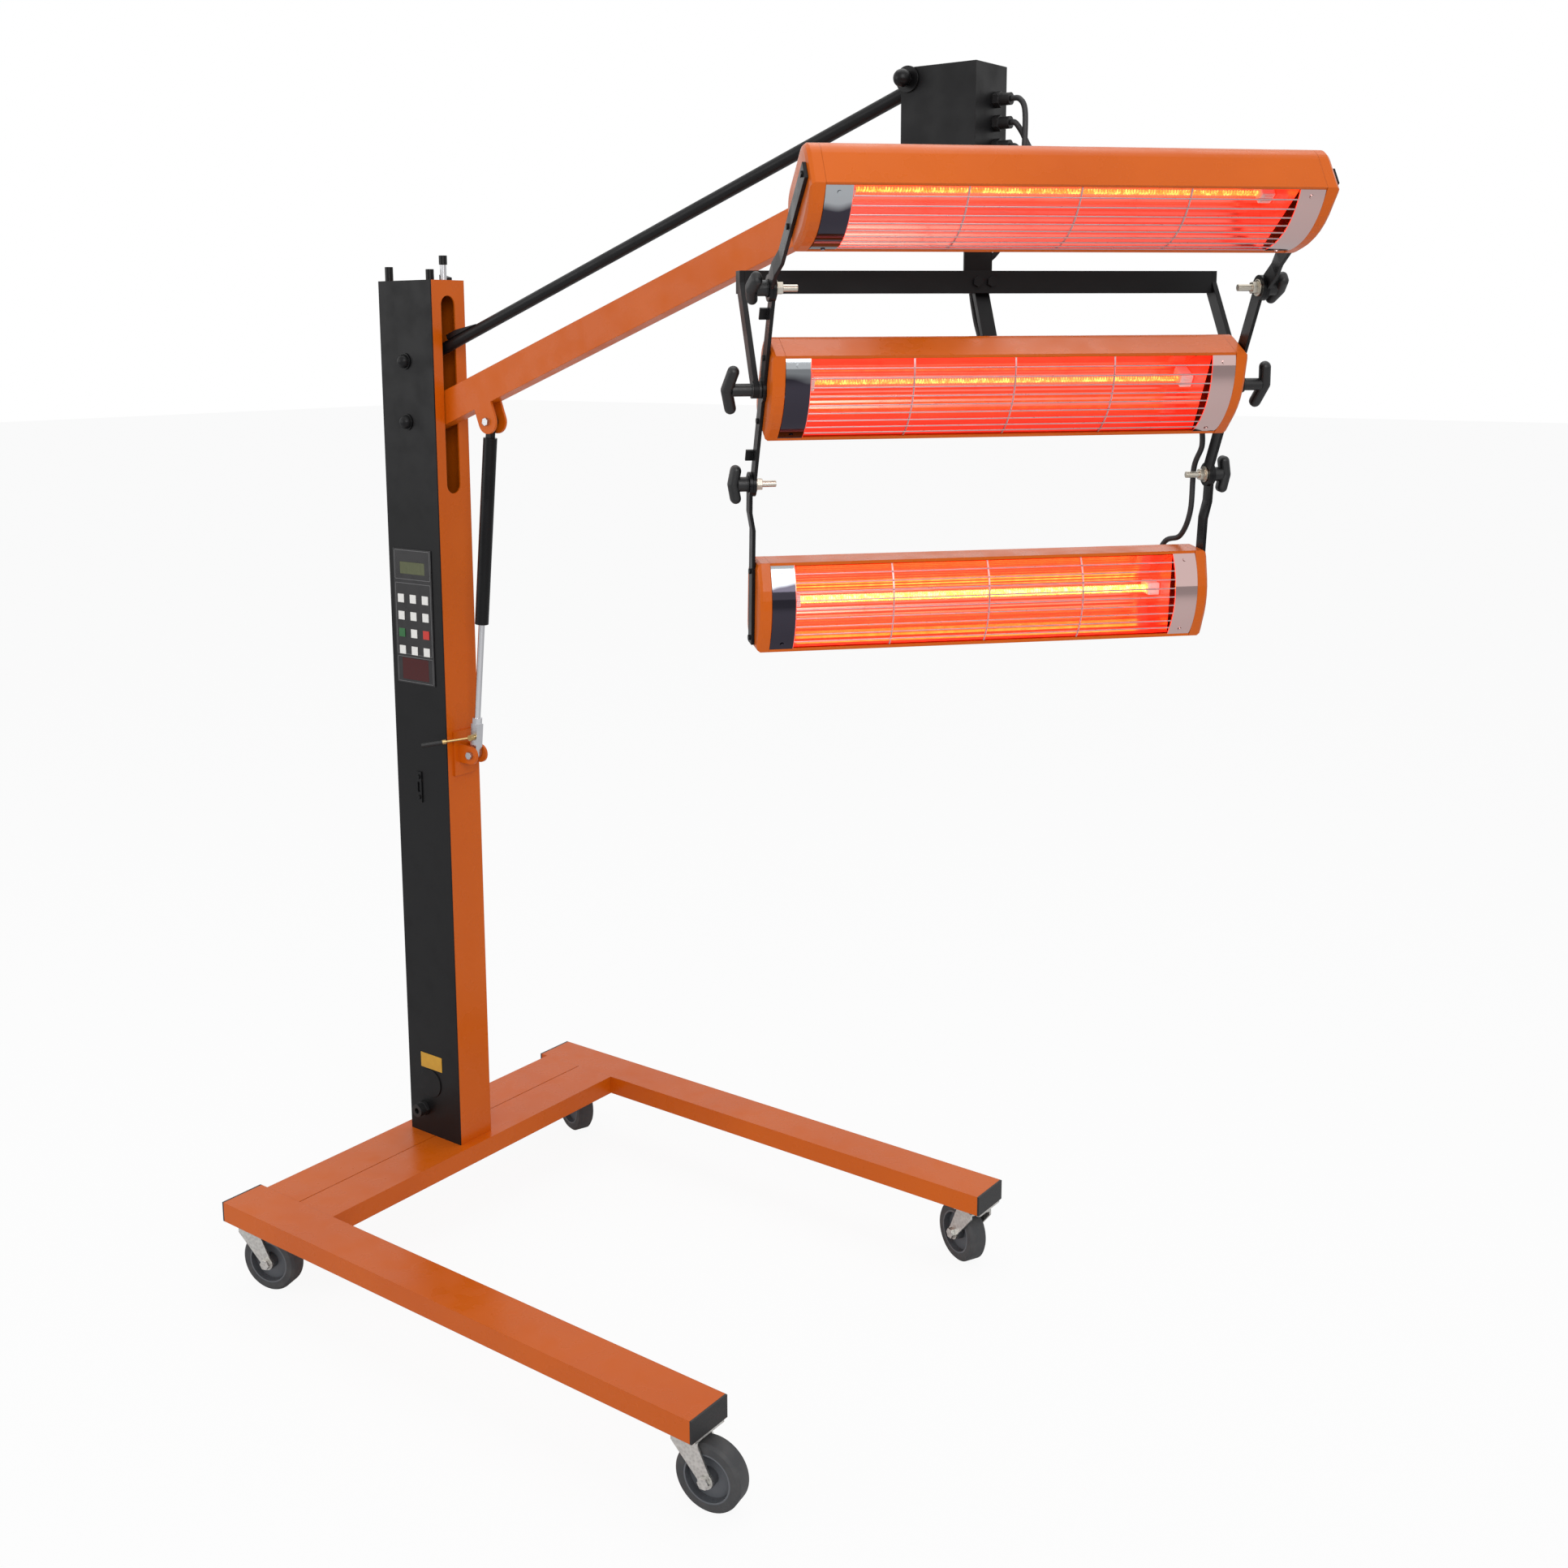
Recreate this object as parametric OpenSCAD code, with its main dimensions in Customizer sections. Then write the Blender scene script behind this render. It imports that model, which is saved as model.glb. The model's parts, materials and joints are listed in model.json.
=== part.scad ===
// Mobile infrared dryer: a wheeled U base, a sheet metal mast with its controls, a parallelogram
// arm held by a gas spring, and a swivelling yoke that carries three hinged lamps.
// Origin: on the floor under the middle of the mast. +X points along the legs and the arm,
// +Y towards the leg on the side away from the controls, +Z up. Millimetres and degrees.

/* [Base] */
// Width over both legs
base_w = 800; // [700:10:900]
// Width of a leg tube
leg_w = 74; // [66:1:84]
// Height of every base tube
tube_h = 32; // [28:1:40]
// Wall of the base tubes
tube_wall = 2.5; // [1.5:0.5:4]
// Reach of the legs in front of the mast middle
leg_front = 856; // [760:1:900]
// Reach of the legs behind the mast middle
leg_rear = 100; // [96:1:120]
// Width of each of the two cross tubes
cross_w = 80; // [70:1:90]
// Thickness of the plastic end caps outside the tubes
cap_t = 3; // [2:0.5:5]

/* [Casters] */
// Height of a caster from the floor to its plate
caster_h = 110; // [108:1:125]
// Diameter of a wheel
wheel_d = 96; // [80:1:97]
// Width of a wheel
wheel_w = 30; // [24:1:34]
// Thickness of the tread
tread_t = 12; // [8:1:16]
// Side of the square mounting plate
caster_plate = 60; // [56:1:66]
// Distance from the swivel axis to the wheel axle
caster_trail = 30; // [24:1:34]
// Sheet of the caster fork
fork_t = 3; // [2:0.5:4]

/* [Mast] */
// Height of the mast above the base
mast_h = 1439; // [1430:1:1500]
// Depth of the mast along X
mast_d = 120; // [110:1:130]
// Width of the mast along Y
mast_w = 72; // [68:1:90]
// Wall of the mast channel
mast_wall = 3; // [2:0.5:4]
// Sheet of the control cover
cover_t = 2; // [1:0.5:3]
// Width of the slot for the arm
slot_w = 29; // [28:0.5:32]
// Lower end of the slot above the base
slot_low = 1103; // [1080:1:1110]
// Upper end of the slot above the base
slot_high = 1415; // [1405:1:1420]

/* [Arm] */
// Height of the lower arm pivot above the base
pivot_z = 1217; // [1210:1:1225]
// Place of the mast pivots along X
pivot_x = -4; // [-10:1:0]
// Rise from the lower pivots to the upper ones
link_rise = 96; // [90:1:100]
// Distance between the two pivots of the arm
arm_len = 998; // [900:1:1050]
// Rest angle of the arm above level
arm_angle = 20.35; // [15:0.05:25]
// Height of the arm tube
arm_h = 50; // [40:1:54]
// Width of the arm tube
arm_w = 25; // [20:1:26]
// Wall of the arm tube
arm_wall = 2; // [1.5:0.5:3]
// Diameter of the upper link
link_d = 18; // [14:1:20]
// Diameter of the pivot bolts
pivot_bolt_d = 12; // [10:1:14]

/* [Gas spring] */
// Distance of the spring bolt in front of the mast
bracket_out = 30; // [26:1:34]
// Height of the lower spring bolt above the base
bracket_z = 678; // [660:1:690]
// Place of the upper ears along the arm from its pivot
ear_along = 147.3; // [140:0.1:155]
// Drop of the upper ears below the arm axis
ear_drop = 51.4; // [48:0.1:56]
// Lean of the spring above level
spring_angle = 83.85; // [82:0.05:86]
// Distance between the two eyes at rest
spring_len = 545.2; // [535:0.1:550]
// Diameter of the cylinder
cyl_d = 22; // [20:1:26]
// Length of the cylinder
cyl_len = 300; // [280:1:310]
// Diameter of the rod
rod_d = 10; // [8:1:12]

/* [Head] */
// Depth of the head box along X
head_d = 106; // [104:1:112]
// Width of the head box along Y
head_w = 76; // [70:1:84]
// Height of the head box
head_h = 150; // [150:1:160]
// Sheet of the head box
head_t = 3; // [2:0.5:4]
// Distance of the swivel post in front of the head pivots
post_out = 76; // [72:1:76]
// Diameter of the swivel post
post_d = 30; // [24:1:32]

/* [Yoke] */
// Rest yaw of the lamp set
yaw = -42; // [-60:1:60]
// Height of the crossbar tube
bar_h = 27; // [20:1:32]
// Depth of the crossbar tube
bar_d = 25; // [20:1:30]
// Drop of the crossbar middle below the lower head pivot
bar_drop = 152; // [145:1:160]
// Place of the knob axis in front of the post
tee_x = 118; // [110:1:125]
// Drop of the knob axis below the lower head pivot
tee_drop = 278; // [270:1:290]
// Thickness of the side arms
yoke_t = 6; // [4:1:8]
// Width of the side arms
yoke_w = 20; // [16:1:25]

/* [Lamps] */
// Rest tilt of the middle lamp, facing down from level
mid_tilt = 28; // [0:1:45]
// Extra tilt of the top lamp
top_tilt = 27; // [0:1:45]
// Turn back of the bottom lamp
bottom_tilt = 23; // [0:1:45]
// Distance from the knob axis to each lamp hinge
hinge_a = 130; // [124:1:136]
// Distance from a hinge to the middle of its lamp
lamp_a = 150; // [144:1:158]
// Length of a lamp over its end caps
lamp_len = 584; // [580:1:588]
// Height of the lamp housing
lamp_h = 112; // [106:1:116]
// Depth of the housing behind the hinge line
lamp_back = 44; // [43:1:50]
// Front of the housing lips before the hinge line
lamp_lip = 22; // [18:1:24]
// Bulge of the guard in front of the lips
lamp_bulge = 16; // [12:1:18]
// Length of an end cap
end_cap = 16; // [12:1:20]
// Width of the polished end strips
strip_w = 30; // [20:1:34]
// Sheet of the lamp housing
lamp_wall = 2; // [1:0.5:3]
// Diameter of the quartz tube
quartz_d = 12; // [10:1:16]
// Number of long guard wires
guard_wires = 9; // [7:2:11]
// Number of cross hoops
guard_hoops = 3; // [3:2:5]

/* [Hidden] */

$fn = 48;
// Overrun of every cut past the face it opens
cut = 1;
// Gap between two pieces that bear on each other
seat = 0.2;
// Radial clearance of a pin in its bore
fit = 0.05;
// Radial clearance of the open pivot at the head end of the upper link
open_fit = 0.3;
// Gap between pieces that turn past each other
run = 0.4;
painted_black = [0.07, 0.07, 0.07];
moulded_black = [0.04, 0.04, 0.04];
panel_black = [0.1, 0.1, 0.1];

// Base levels
base_top = caster_h + tube_h;
leg_y = base_w / 2 - leg_w / 2;
cross_len = base_w - 2 * leg_w;
cross_x = -2;
cross_gap = 1.6;
cap_plug = 14;
cap_fit = 0.3;

// Casters
plate_t = 3;
race_d = 46;
race_h = 5;
stem_d = 10;
stem_in = 6;
crown_w = 40;
crown_h = 9;
fork_gap = 2;
axle_d = 10;
hub_d = 24;
fork_eye_d = 22;
nut_h = 6;
nut_d = 17;
web_t = 10;
tread_round = 4;
corner_bolt_d = 8;
corner_bolt_inset = 9;
corner_bolt_h = 5;
front_caster_x = leg_front - caster_plate / 2;
rear_caster_x = -leg_rear + caster_plate / 2 + corner_bolt_h;
near_front_yaw = 9;
far_front_yaw = 155;
near_rear_yaw = 16;
far_rear_yaw = -20;

// Mast fittings
lip_w = 18;
lip_gap = 0.5;
washer_t = 2;
washer_d = 26;
dome_d = 22;
spacer_wall = 4;
pivot_nut_d = 20;
pivot_nut_h = 10;
top_plate_t = 3;
stud_d = 10;
stud_h = 24;
stud_cap_d = 13;
stud_cap_h = 14;
rear_cap_h = 22;
front_cap_h = 17;
rear_stud_x = -47;
rear_stud_y = -24;
front_stud_x = 30;
front_stud_y = -8;
tall_stud_x = 46;
tall_stud_y = 6;
wedge_x = 30;
wedge_y = 24;
wedge_l = 16;
wedge_w = 12;
wedge_h = 9;
panel_w = 89;
panel_h = 222;
panel_t = 1.6;
panel_x = -4.5;
panel_low = 790;
key_w = 14;
key_pitch = 28.5;
key_rise = 1;
key_low = 55;
lcd_w = 58;
lcd_h = 20;
lcd_low = 181;
status_w = 62;
status_h = 36;
status_low = 6;
window_t = 0.8;
window_in = 1;
board_w = 66;
board_h = 170;
board_t = 1.6;
standoff_d = 7;
standoff_h = 10;
relay_w = 40;
relay_h = 60;
relay_t = 24;
hook_w = 12;
hook_t = 2;
hook_low = 590;
hook_h = 52;
hook_x = -7;
hook_screw_d = 7;
hook_screw_h = 2;
plug_d = 50;
plug_t = 1.5;
plug_x = -8;
plug_z = 94;
gland_x = -26;
gland_z = 45;
gland_hex = 26;
gland_hex_t = 6;
gland_dome_d = 22;
gland_dome_l = 18;
cable_bore = 10.2;
gland_shank_d = 16;
gland_shank_l = 14;

// Gas spring
ear_t = 4;
ear_gap = 17;
ear_r = 19;
bracket_r = 15;
bracket_plate_w = 44;
bracket_plate_h = 74;
bracket_plate_t = 4;
spring_bolt_d = 8;
spring_bolt_head = 13;
spring_bolt_head_h = 5;
tang_t = 10;
tang_r = 11;
eye_to_cyl = 26;
gland_end = 12;
cyl_wall = 2;
rod_inside = 170;
piston_h = 10;
clevis_w = 14;
clevis_len = 52;
clevis_nut_d = 16;
clevis_nut_h = 10;
lever_up = 30;
lever_l = 84;
lever_turn = 228;
lever_drop = 16;
lever_d = 4;
lever_grip_d = 8;
lever_grip_l = 40;
lever_pin_d = 5;
lever_boss_d = 10;
lever_boss_l = 8;

// Arm ends
arm_tail = 25;
arm_nose = 20;
link_eye_d = 20;
link_stop_at = 120;
link_stop_l = 46;
link_stop_h = 8;
link_stop_w = 12;

// Head
head_tail = 10;
head_low = 40;
notch_gap = 2;
ball_d = 22;
ring_d = 32;
ring_t = 3;
ball_neck = 4;
sleeve_wall = 4;
sleeve_h = 36;
collar_d = 38;
journal_d = 24;
journal_over = 6;
collar_h = 8;
head_gland_y = 10;
head_gland_pitch = 28;
head_gland_top = 42;
lead_d = 7;
head_gland_d = 20;
head_gland_l = 22;
head_gland_hex_l = 8;
head_gland_nose_d = 15;

// Yoke
bar_wall = 2;
bar_x = post_d / 2 + bar_d / 2 + seat;
foot_t = 4;
post_lift = 28;
foot_w = 36;
foot_h = 88;
stay_w = 18;
stay_t = 8;
stay_reach = 36;
stay_fall = 60;
foot_bolt_d = 13;
foot_bolt_h = 5;
foot_bolt_pitch = 18;
tee_bolt_d = 8;
tee_len = 62;
tee_thick = 14;
tee_width = 15;
tee_hook = 6;
tee_stem_d = 15;
tee_stem_l = 22;
tee_spacer_t = 3.8;

// Side bars and hangers
side_t = 4;
side_w = 20;
hinge_eye_d = 30;
hinge_bolt_d = 8;
wing_len = 47;
wing_thick = 13;
wing_width = 18;
wing_hub_d = 18;
wing_hub_l = 12;
bolt_tip = 26;
hinge_nut_d = 15;
hinge_nut_h = 7;
hinge_washer_d = 20;
hinge_washer_t = 1.5;
tab_at = 36;
tab_l = 14;
tab_out = 9;
tab_t = 3;
jog_from = 34;
jog_to = 56;
screw_d = 7;
screw_h = 2;

// Lamps
lip_h = 4;
back_round = 27;
cap_round = 8;
cap_round_l = 5;
opening_h = lamp_h - 2 * lip_h;
guard_r = (pow(opening_h / 2, 2) + pow(lamp_bulge, 2)) / (2 * lamp_bulge);
guard_n = lamp_lip + lamp_bulge - guard_r;
guard_half = asin(opening_h / 2 / guard_r);
inner_len = lamp_len - 2 * end_cap;
mouth_len = inner_len - 2 * strip_w;
wire_d = 2;
hoop_w = 2;
hoop_t = 1.8;
strip_t = 1;
strip_screw_share = 0.86;
strip_screw_d = 5;
reflector_t = 1;
reflector_gap = 1.5;
reflector_depth = 58;
reflector_waves = 12;
wave_h = 0.8;
steps_per_wave = 4;
quartz_n = -16;
holder_l = 16;
holder_w = 18;
holder_h = 16;
lamp_gland_d = 18;
lamp_gland_nose_d = 13.5;
lamp_gland_l = 14;
lamp_gland_in = 34;
lamp_gland_a = -20;

// Routes of the three leads, from the swivel axis at the height of the lower head pivot, in the yoke's frame.
// Each gives its points from the head's gland to the lamp, and the points where a stretch ends.
mid_route = [
    [25, 36, 68], [33, 43, 67], [42, 47, 54], [47, 46, 20], [46, 44, -30], [40, 42, -70], [20, 33, -100],
    [8, 24, -117], [2, 10, -134], [5, 4, -168], [16, 4, -182], [33, 4, -203], [46, 8, -224], [58, 22, -240],
    [65, 40, -246], [66, 90, -248], [60, 150, -247], [50, 204, -248], [42, 231, -253], [46, 242, -262],
    [56.8, 242, -267.6]];
top_route = [
    [25, 36, 40], [29, 40, 39], [33, 47, 28], [38, 56, 8], [50, 70, -14], [68, 88, -34], [100, 120, -56],
    [140, 152, -66], [175, 180, -66], [205, 206, -60], [224, 228, -44], [232, 240, -30], [242, 242, -26],
    [251.7, 242, -40.4]];
bottom_route = [
    [25, 36, 12], [31, 41, 10], [35, 44, -4], [35, 43, -34], [28, 38, -70], [9, 28, -96], [-4, 16, -116],
    [-5, 1, -138], [1, -4, -156], [5, -4, -168], [13, -4, -184], [29, -4, -208], [41, 2, -234],
    [54, 20, -254], [60, 40, -262], [55, 100, -276], [53, 190, -280], [50, 250, -303], [60, 278, -322],
    [59, 286, -354], [42, 284, -385], [36, 284, -441], [22, 278, -474], [2, 266, -484], [-13, 256, -517],
    [-33, 246, -543], [-28, 242, -555], [-16.6, 242, -556.5]];
mid_ends = [0, 9, 14, 20];
top_ends = [0, 5, 8, 13];
bottom_ends = [0, 9, 14, 27];

// Places worked out from the sizes above
pivot_at = [pivot_x, 0, base_top + pivot_z];
head_at = pivot_at + [arm_len * cos(arm_angle), 0, arm_len * sin(arm_angle)];
post_at = [head_at[0] + post_out, 0, head_at[2]];
bracket_at = [mast_d / 2 + bracket_out, 0, base_top + bracket_z];
spacer_d = pivot_bolt_d + 2 * spacer_wall;
bar_out = lamp_len / 2 + seat;
bar_end = bar_out + side_t + tee_spacer_t;
tee_face = bar_end + yoke_t;
hanger_out = bar_out + side_t + seat;

// Rectangular tube along X from the origin, centred on Y, standing on Z zero
module box_tube(length, width, height, wall) {
    difference() {
        translate([0, -width / 2, 0]) cube([length, width, height]);
        translate([-cut, -width / 2 + wall, wall])
            cube([length + 2 * cut, width - 2 * wall, height - 2 * wall]);
    }
}

// Round bar along Y from y0 to y1
module bar_y(d, y0, y1) {
    translate([0, y1, 0]) rotate([90, 0, 0]) cylinder(d = d, h = y1 - y0);
}

// Ring along Y from y0 to y1
module ring_y(d, bore, y0, y1) {
    difference() {
        bar_y(d, y0, y1);
        bar_y(bore, y0 - cut, y1 + cut);
    }
}

// Hexagon along Y from y0 to y1
module hex_y(d, y0, y1) {
    translate([0, y1, 0]) rotate([90, 0, 0]) cylinder(d = d, h = y1 - y0, $fn = 6);
}

// Smooth curve through the points of a route
function spline_point(a, b, c, d, t) =
    0.5 * (2 * b + (c - a) * t + (2 * a - 5 * b + 4 * c - d) * t * t + (3 * b - a - 3 * c + d) * t * t * t);
function route(p, steps) = concat(
    [for (i = [0 : len(p) - 2]) for (s = [0 : steps - 1])
        spline_point(p[max(i - 1, 0)], p[i], p[i + 1], p[min(i + 2, len(p) - 1)], s / steps)],
    [p[len(p) - 1]]);
function unit(v) = v / norm(v);
function heading(p, i) = unit(p[min(i + 1, len(p) - 1)] - p[max(i - 1, 0)]);
function across(h, v) = unit(v - (v * h) * h);
function sides(p, i, start) = i == 0
    ? across(heading(p, 0), start)
    : across(heading(p, i), sides(p, i - 1, start));

// Round tube swept along a route from one of its points to another
module lead(points, first_point, last_point, start = [1, 1, 3], steps = 3, faces = 8) {
    path = route(points, steps);
    rings = (last_point - first_point) * steps + 1;
    skin = [for (i = [first_point * steps : last_point * steps])
        let (h = heading(path, i), s = sides(path, i, start), n = cross(h, s))
        for (k = [0 : faces - 1])
            path[i] + lead_d / 2 * (cos(360 * k / faces) * s + sin(360 * k / faces) * n)];
    walls = [for (i = [0 : rings - 2]) for (k = [0 : faces - 1])
        let (a = i * faces + k, b = i * faces + (k + 1) % faces)
        for (f = [[a, a + faces, b], [b, a + faces, b + faces]]) f];
    first = [for (k = [0 : faces - 1]) k];
    last = [for (k = [faces - 1 : -1 : 0]) (rings - 1) * faces + k];
    polyhedron(points = skin, faces = concat(walls, [first], [last]), convexity = 8);
}

// Frames of the parts that turn together
module in_arm() translate(pivot_at) rotate([0, -arm_angle, 0]) children();
module in_spring() translate(bracket_at) rotate([0, 90 - spring_angle, 0]) children();
module in_yoke() translate(post_at) rotate([0, 0, yaw]) children();
module in_set() in_yoke() translate([tee_x, 0, -tee_drop]) rotate([0, mid_tilt, 0]) children();
module in_top_hinge() in_set() translate([0, 0, hinge_a]) rotate([0, top_tilt, 0]) children();
module in_bottom_hinge() in_set() translate([0, 0, -hinge_a]) rotate([0, -bottom_tilt, 0]) children();
module in_top() in_top_hinge() translate([0, 0, lamp_a]) children();
module in_bottom() in_bottom_hinge() translate([0, 0, -lamp_a]) children();

// Base

module leg(side) {
    color("orangered")
    translate([-leg_rear + cap_t + seat, side * leg_y, caster_h])
        box_tube(leg_front + leg_rear - 2 * (cap_t + seat), leg_w, tube_h, tube_wall);
}

module cross_tubes() {
    color("orangered")
    for (k = [-1, 1])
        translate([cross_x + k * (cross_w + cross_gap) / 2, -cross_len / 2, caster_h])
            rotate([0, 0, 90])
                box_tube(cross_len, cross_w, tube_h, tube_wall);
}

module end_cap_plug() {
    plug_w = leg_w - 2 * tube_wall - 2 * cap_fit;
    plug_h = tube_h - 2 * tube_wall - 2 * cap_fit;
    translate([0, -leg_w / 2, 0]) cube([cap_t, leg_w, tube_h]);
    difference() {
        translate([-cap_plug, -plug_w / 2, tube_wall + cap_fit]) cube([cap_plug + cut, plug_w, plug_h]);
        translate([-cap_plug - cut, -plug_w / 2 + cap_t, tube_wall + cap_fit + cap_t])
            cube([cap_plug, plug_w - 2 * cap_t, plug_h - 2 * cap_t]);
    }
}

module leg_end_caps() {
    color("black")
    for (side = [-1, 1]) {
        translate([leg_front - cap_t, side * leg_y, caster_h]) end_cap_plug();
        translate([-leg_rear + cap_t, side * leg_y, caster_h]) mirror([1, 0, 0]) end_cap_plug();
    }
}

// Casters

module at_casters() {
    for (x = [front_caster_x, rear_caster_x]) for (side = [-1, 1])
        translate([x, side * leg_y, caster_h]) children();
}

module caster_plates() {
    bolt_at = caster_plate / 2 - corner_bolt_inset;
    color("silver")
    at_casters() difference() {
        union() {
            translate([-caster_plate / 2, -caster_plate / 2, -plate_t])
                cube([caster_plate, caster_plate, plate_t]);
            translate([0, 0, -plate_t - race_h]) cylinder(d = race_d, h = race_h + cut);
            for (x = [-1, 1]) for (y = [-1, 1])
                translate([x * bolt_at, y * bolt_at, -plate_t - corner_bolt_h])
                    cylinder(d = corner_bolt_d, h = corner_bolt_h + cut);
        }
        translate([0, 0, -plate_t - race_h - cut])
            cylinder(d = stem_d + 2 * fit, h = race_h + cut + stem_in - plate_t);
    }
}

module fork_cheek() {
    axle_z = wheel_d / 2 - caster_h;
    crown_z = -plate_t - race_h - run;
    rotate([90, 0, 0]) linear_extrude(fork_t)
        polygon([
            [-crown_w / 2, crown_z], [crown_w / 2, crown_z],
            [crown_w / 2, crown_z - crown_h], [caster_trail + fork_eye_d / 2, axle_z],
            [caster_trail - fork_eye_d / 2, axle_z], [-crown_w / 2, crown_z - crown_h]]);
    translate([caster_trail, 0, axle_z]) bar_y(fork_eye_d, -fork_t, 0);
}

module caster_fork(x, side, turn) {
    crown_z = -plate_t - race_h - run;
    axle_z = wheel_d / 2 - caster_h;
    half = wheel_w / 2 + fork_gap;
    color("silver")
    translate([x, side * leg_y, caster_h]) rotate([0, 0, turn]) {
        difference() {
            union() {
                translate([-crown_w / 2, -half - fork_t, crown_z - fork_t])
                    cube([crown_w, 2 * (half + fork_t), fork_t]);
                translate([0, -half, 0]) fork_cheek();
                translate([0, half + fork_t, 0]) fork_cheek();
            }
            translate([caster_trail, 0, axle_z])
                bar_y(axle_d + 2 * fit, -half - fork_t - cut, half + fork_t + cut);
        }
        translate([0, 0, crown_z - cut]) cylinder(d = stem_d, h = cut + race_h + stem_in - fork_t);
        translate([caster_trail, 0, axle_z]) {
            bar_y(axle_d, -half - fork_t - nut_h, half + fork_t + nut_h);
            for (k = [-1, 1])
                translate([0, k * (half + fork_t + seat + nut_h / 2), 0]) hex_y(nut_d, -nut_h / 2, nut_h / 2);
        }
    }
}

module caster_wheel(x, side, turn) {
    r = wheel_d / 2;
    rim = r - tread_t;
    color("dimgray")
    translate([x, side * leg_y, caster_h]) rotate([0, 0, turn])
        translate([caster_trail, 0, wheel_d / 2 - caster_h]) rotate([90, 0, 0])
            rotate_extrude() polygon([
                [axle_d / 2 + fit, -wheel_w / 2 - fork_gap + run],
                [hub_d / 2, -wheel_w / 2 - fork_gap + run],
                [hub_d / 2, -web_t / 2], [rim - tread_round, -web_t / 2],
                [rim - tread_round, -wheel_w / 2], [r - tread_round, -wheel_w / 2],
                [r, -wheel_w / 2 + tread_round], [r, wheel_w / 2 - tread_round],
                [r - tread_round, wheel_w / 2], [rim - tread_round, wheel_w / 2],
                [rim - tread_round, web_t / 2], [hub_d / 2, web_t / 2],
                [hub_d / 2, wheel_w / 2 + fork_gap - run],
                [axle_d / 2 + fit, wheel_w / 2 + fork_gap - run]]);
}

// Mast

module at_pivots() {
    for (k = [0, 1]) translate(pivot_at + [0, 0, k * link_rise]) children();
}

module mast_channel() {
    inner_d = mast_d - 2 * mast_wall;
    color("orangered")
    difference() {
        translate([-mast_d / 2, -mast_w / 2 + cover_t + seat, base_top])
            cube([mast_d, mast_w - cover_t - seat, mast_h]);
        translate([-inner_d / 2, -mast_w / 2 - cut, base_top - cut])
            cube([inner_d, mast_w - mast_wall + cut, mast_h + 2 * cut]);
        for (z = [slot_low + slot_w / 2, slot_high - slot_w / 2])
            translate([mast_d / 2 - mast_wall - cut, 0, base_top + z]) rotate([0, 90, 0])
                cylinder(d = slot_w, h = mast_wall + 2 * cut);
        translate([mast_d / 2 - mast_wall - cut, -slot_w / 2, base_top + slot_low + slot_w / 2])
            cube([mast_wall + 2 * cut, slot_w, slot_high - slot_low - slot_w]);
        at_pivots() bar_y(pivot_bolt_d + 2 * fit, mast_w / 2 - mast_wall - cut, mast_w / 2 + cut);
    }
}

module mast_cover() {
    face_y = -mast_w / 2;
    lip_x = mast_d / 2 - mast_wall - lip_gap;
    color(painted_black) {
        difference() {
            union() {
                translate([-mast_d / 2, face_y, base_top]) cube([mast_d, cover_t, mast_h]);
                for (k = [-1, 1])
                    translate([k * (lip_x - cover_t / 2) - cover_t / 2, face_y, base_top])
                        cube([cover_t, lip_w, mast_h - top_plate_t - lip_gap]);
            }
            at_pivots() bar_y(pivot_bolt_d + 2 * fit, face_y - cut, face_y + cover_t + cut);
            translate([gland_x, 0, base_top + gland_z])
                bar_y(gland_shank_d + 2 * seat, face_y - cut, face_y + cover_t + cut);
        }
        difference() {
            translate([hook_x - hook_w / 2, face_y - hook_t - seat, base_top + hook_low])
                cube([hook_w, hook_t, hook_h]);
            translate([hook_x - hook_w / 4, face_y - hook_t - cut, base_top + hook_low + hook_h / 3])
                cube([hook_w / 2, hook_t + cut, hook_h / 3]);
        }
        for (k = [1, 5])
            translate([hook_x, 0, base_top + hook_low + k * hook_h / 6])
                bar_y(hook_screw_d, face_y - hook_t - hook_screw_h - 2 * seat, face_y - hook_t - 2 * seat);
        translate([plug_x, 0, base_top + plug_z]) bar_y(plug_d, face_y - plug_t - seat, face_y - seat);
    }
}

module mast_top_plate() {
    plate_y = -mast_w / 2 + cover_t + lip_gap;
    plate_d = mast_d - 2 * mast_wall - 2 * seat;
    plate_w = mast_w - cover_t - mast_wall - lip_gap - seat;
    top = base_top + mast_h;
    color("orangered")
        translate([-plate_d / 2, plate_y, top - top_plate_t]) cube([plate_d, plate_w, top_plate_t]);
    color("black") {
        translate([rear_stud_x, rear_stud_y, top + seat]) cylinder(d = stud_cap_d, h = rear_cap_h);
        translate([front_stud_x, front_stud_y, top + seat]) cylinder(d = stud_cap_d, h = front_cap_h);
        translate([tall_stud_x, tall_stud_y, top + stud_h + seat]) cylinder(d = stud_cap_d, h = stud_cap_h);
        translate([wedge_x, wedge_y, top + seat]) rotate([90, 0, 0])
            linear_extrude(wedge_w) polygon([[0, 0], [wedge_l, 0], [wedge_l, wedge_h / 2], [0, wedge_h]]);
    }
    color("silver") translate([tall_stud_x, tall_stud_y, top + seat]) cylinder(d = stud_d, h = stud_h - seat);
}

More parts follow.
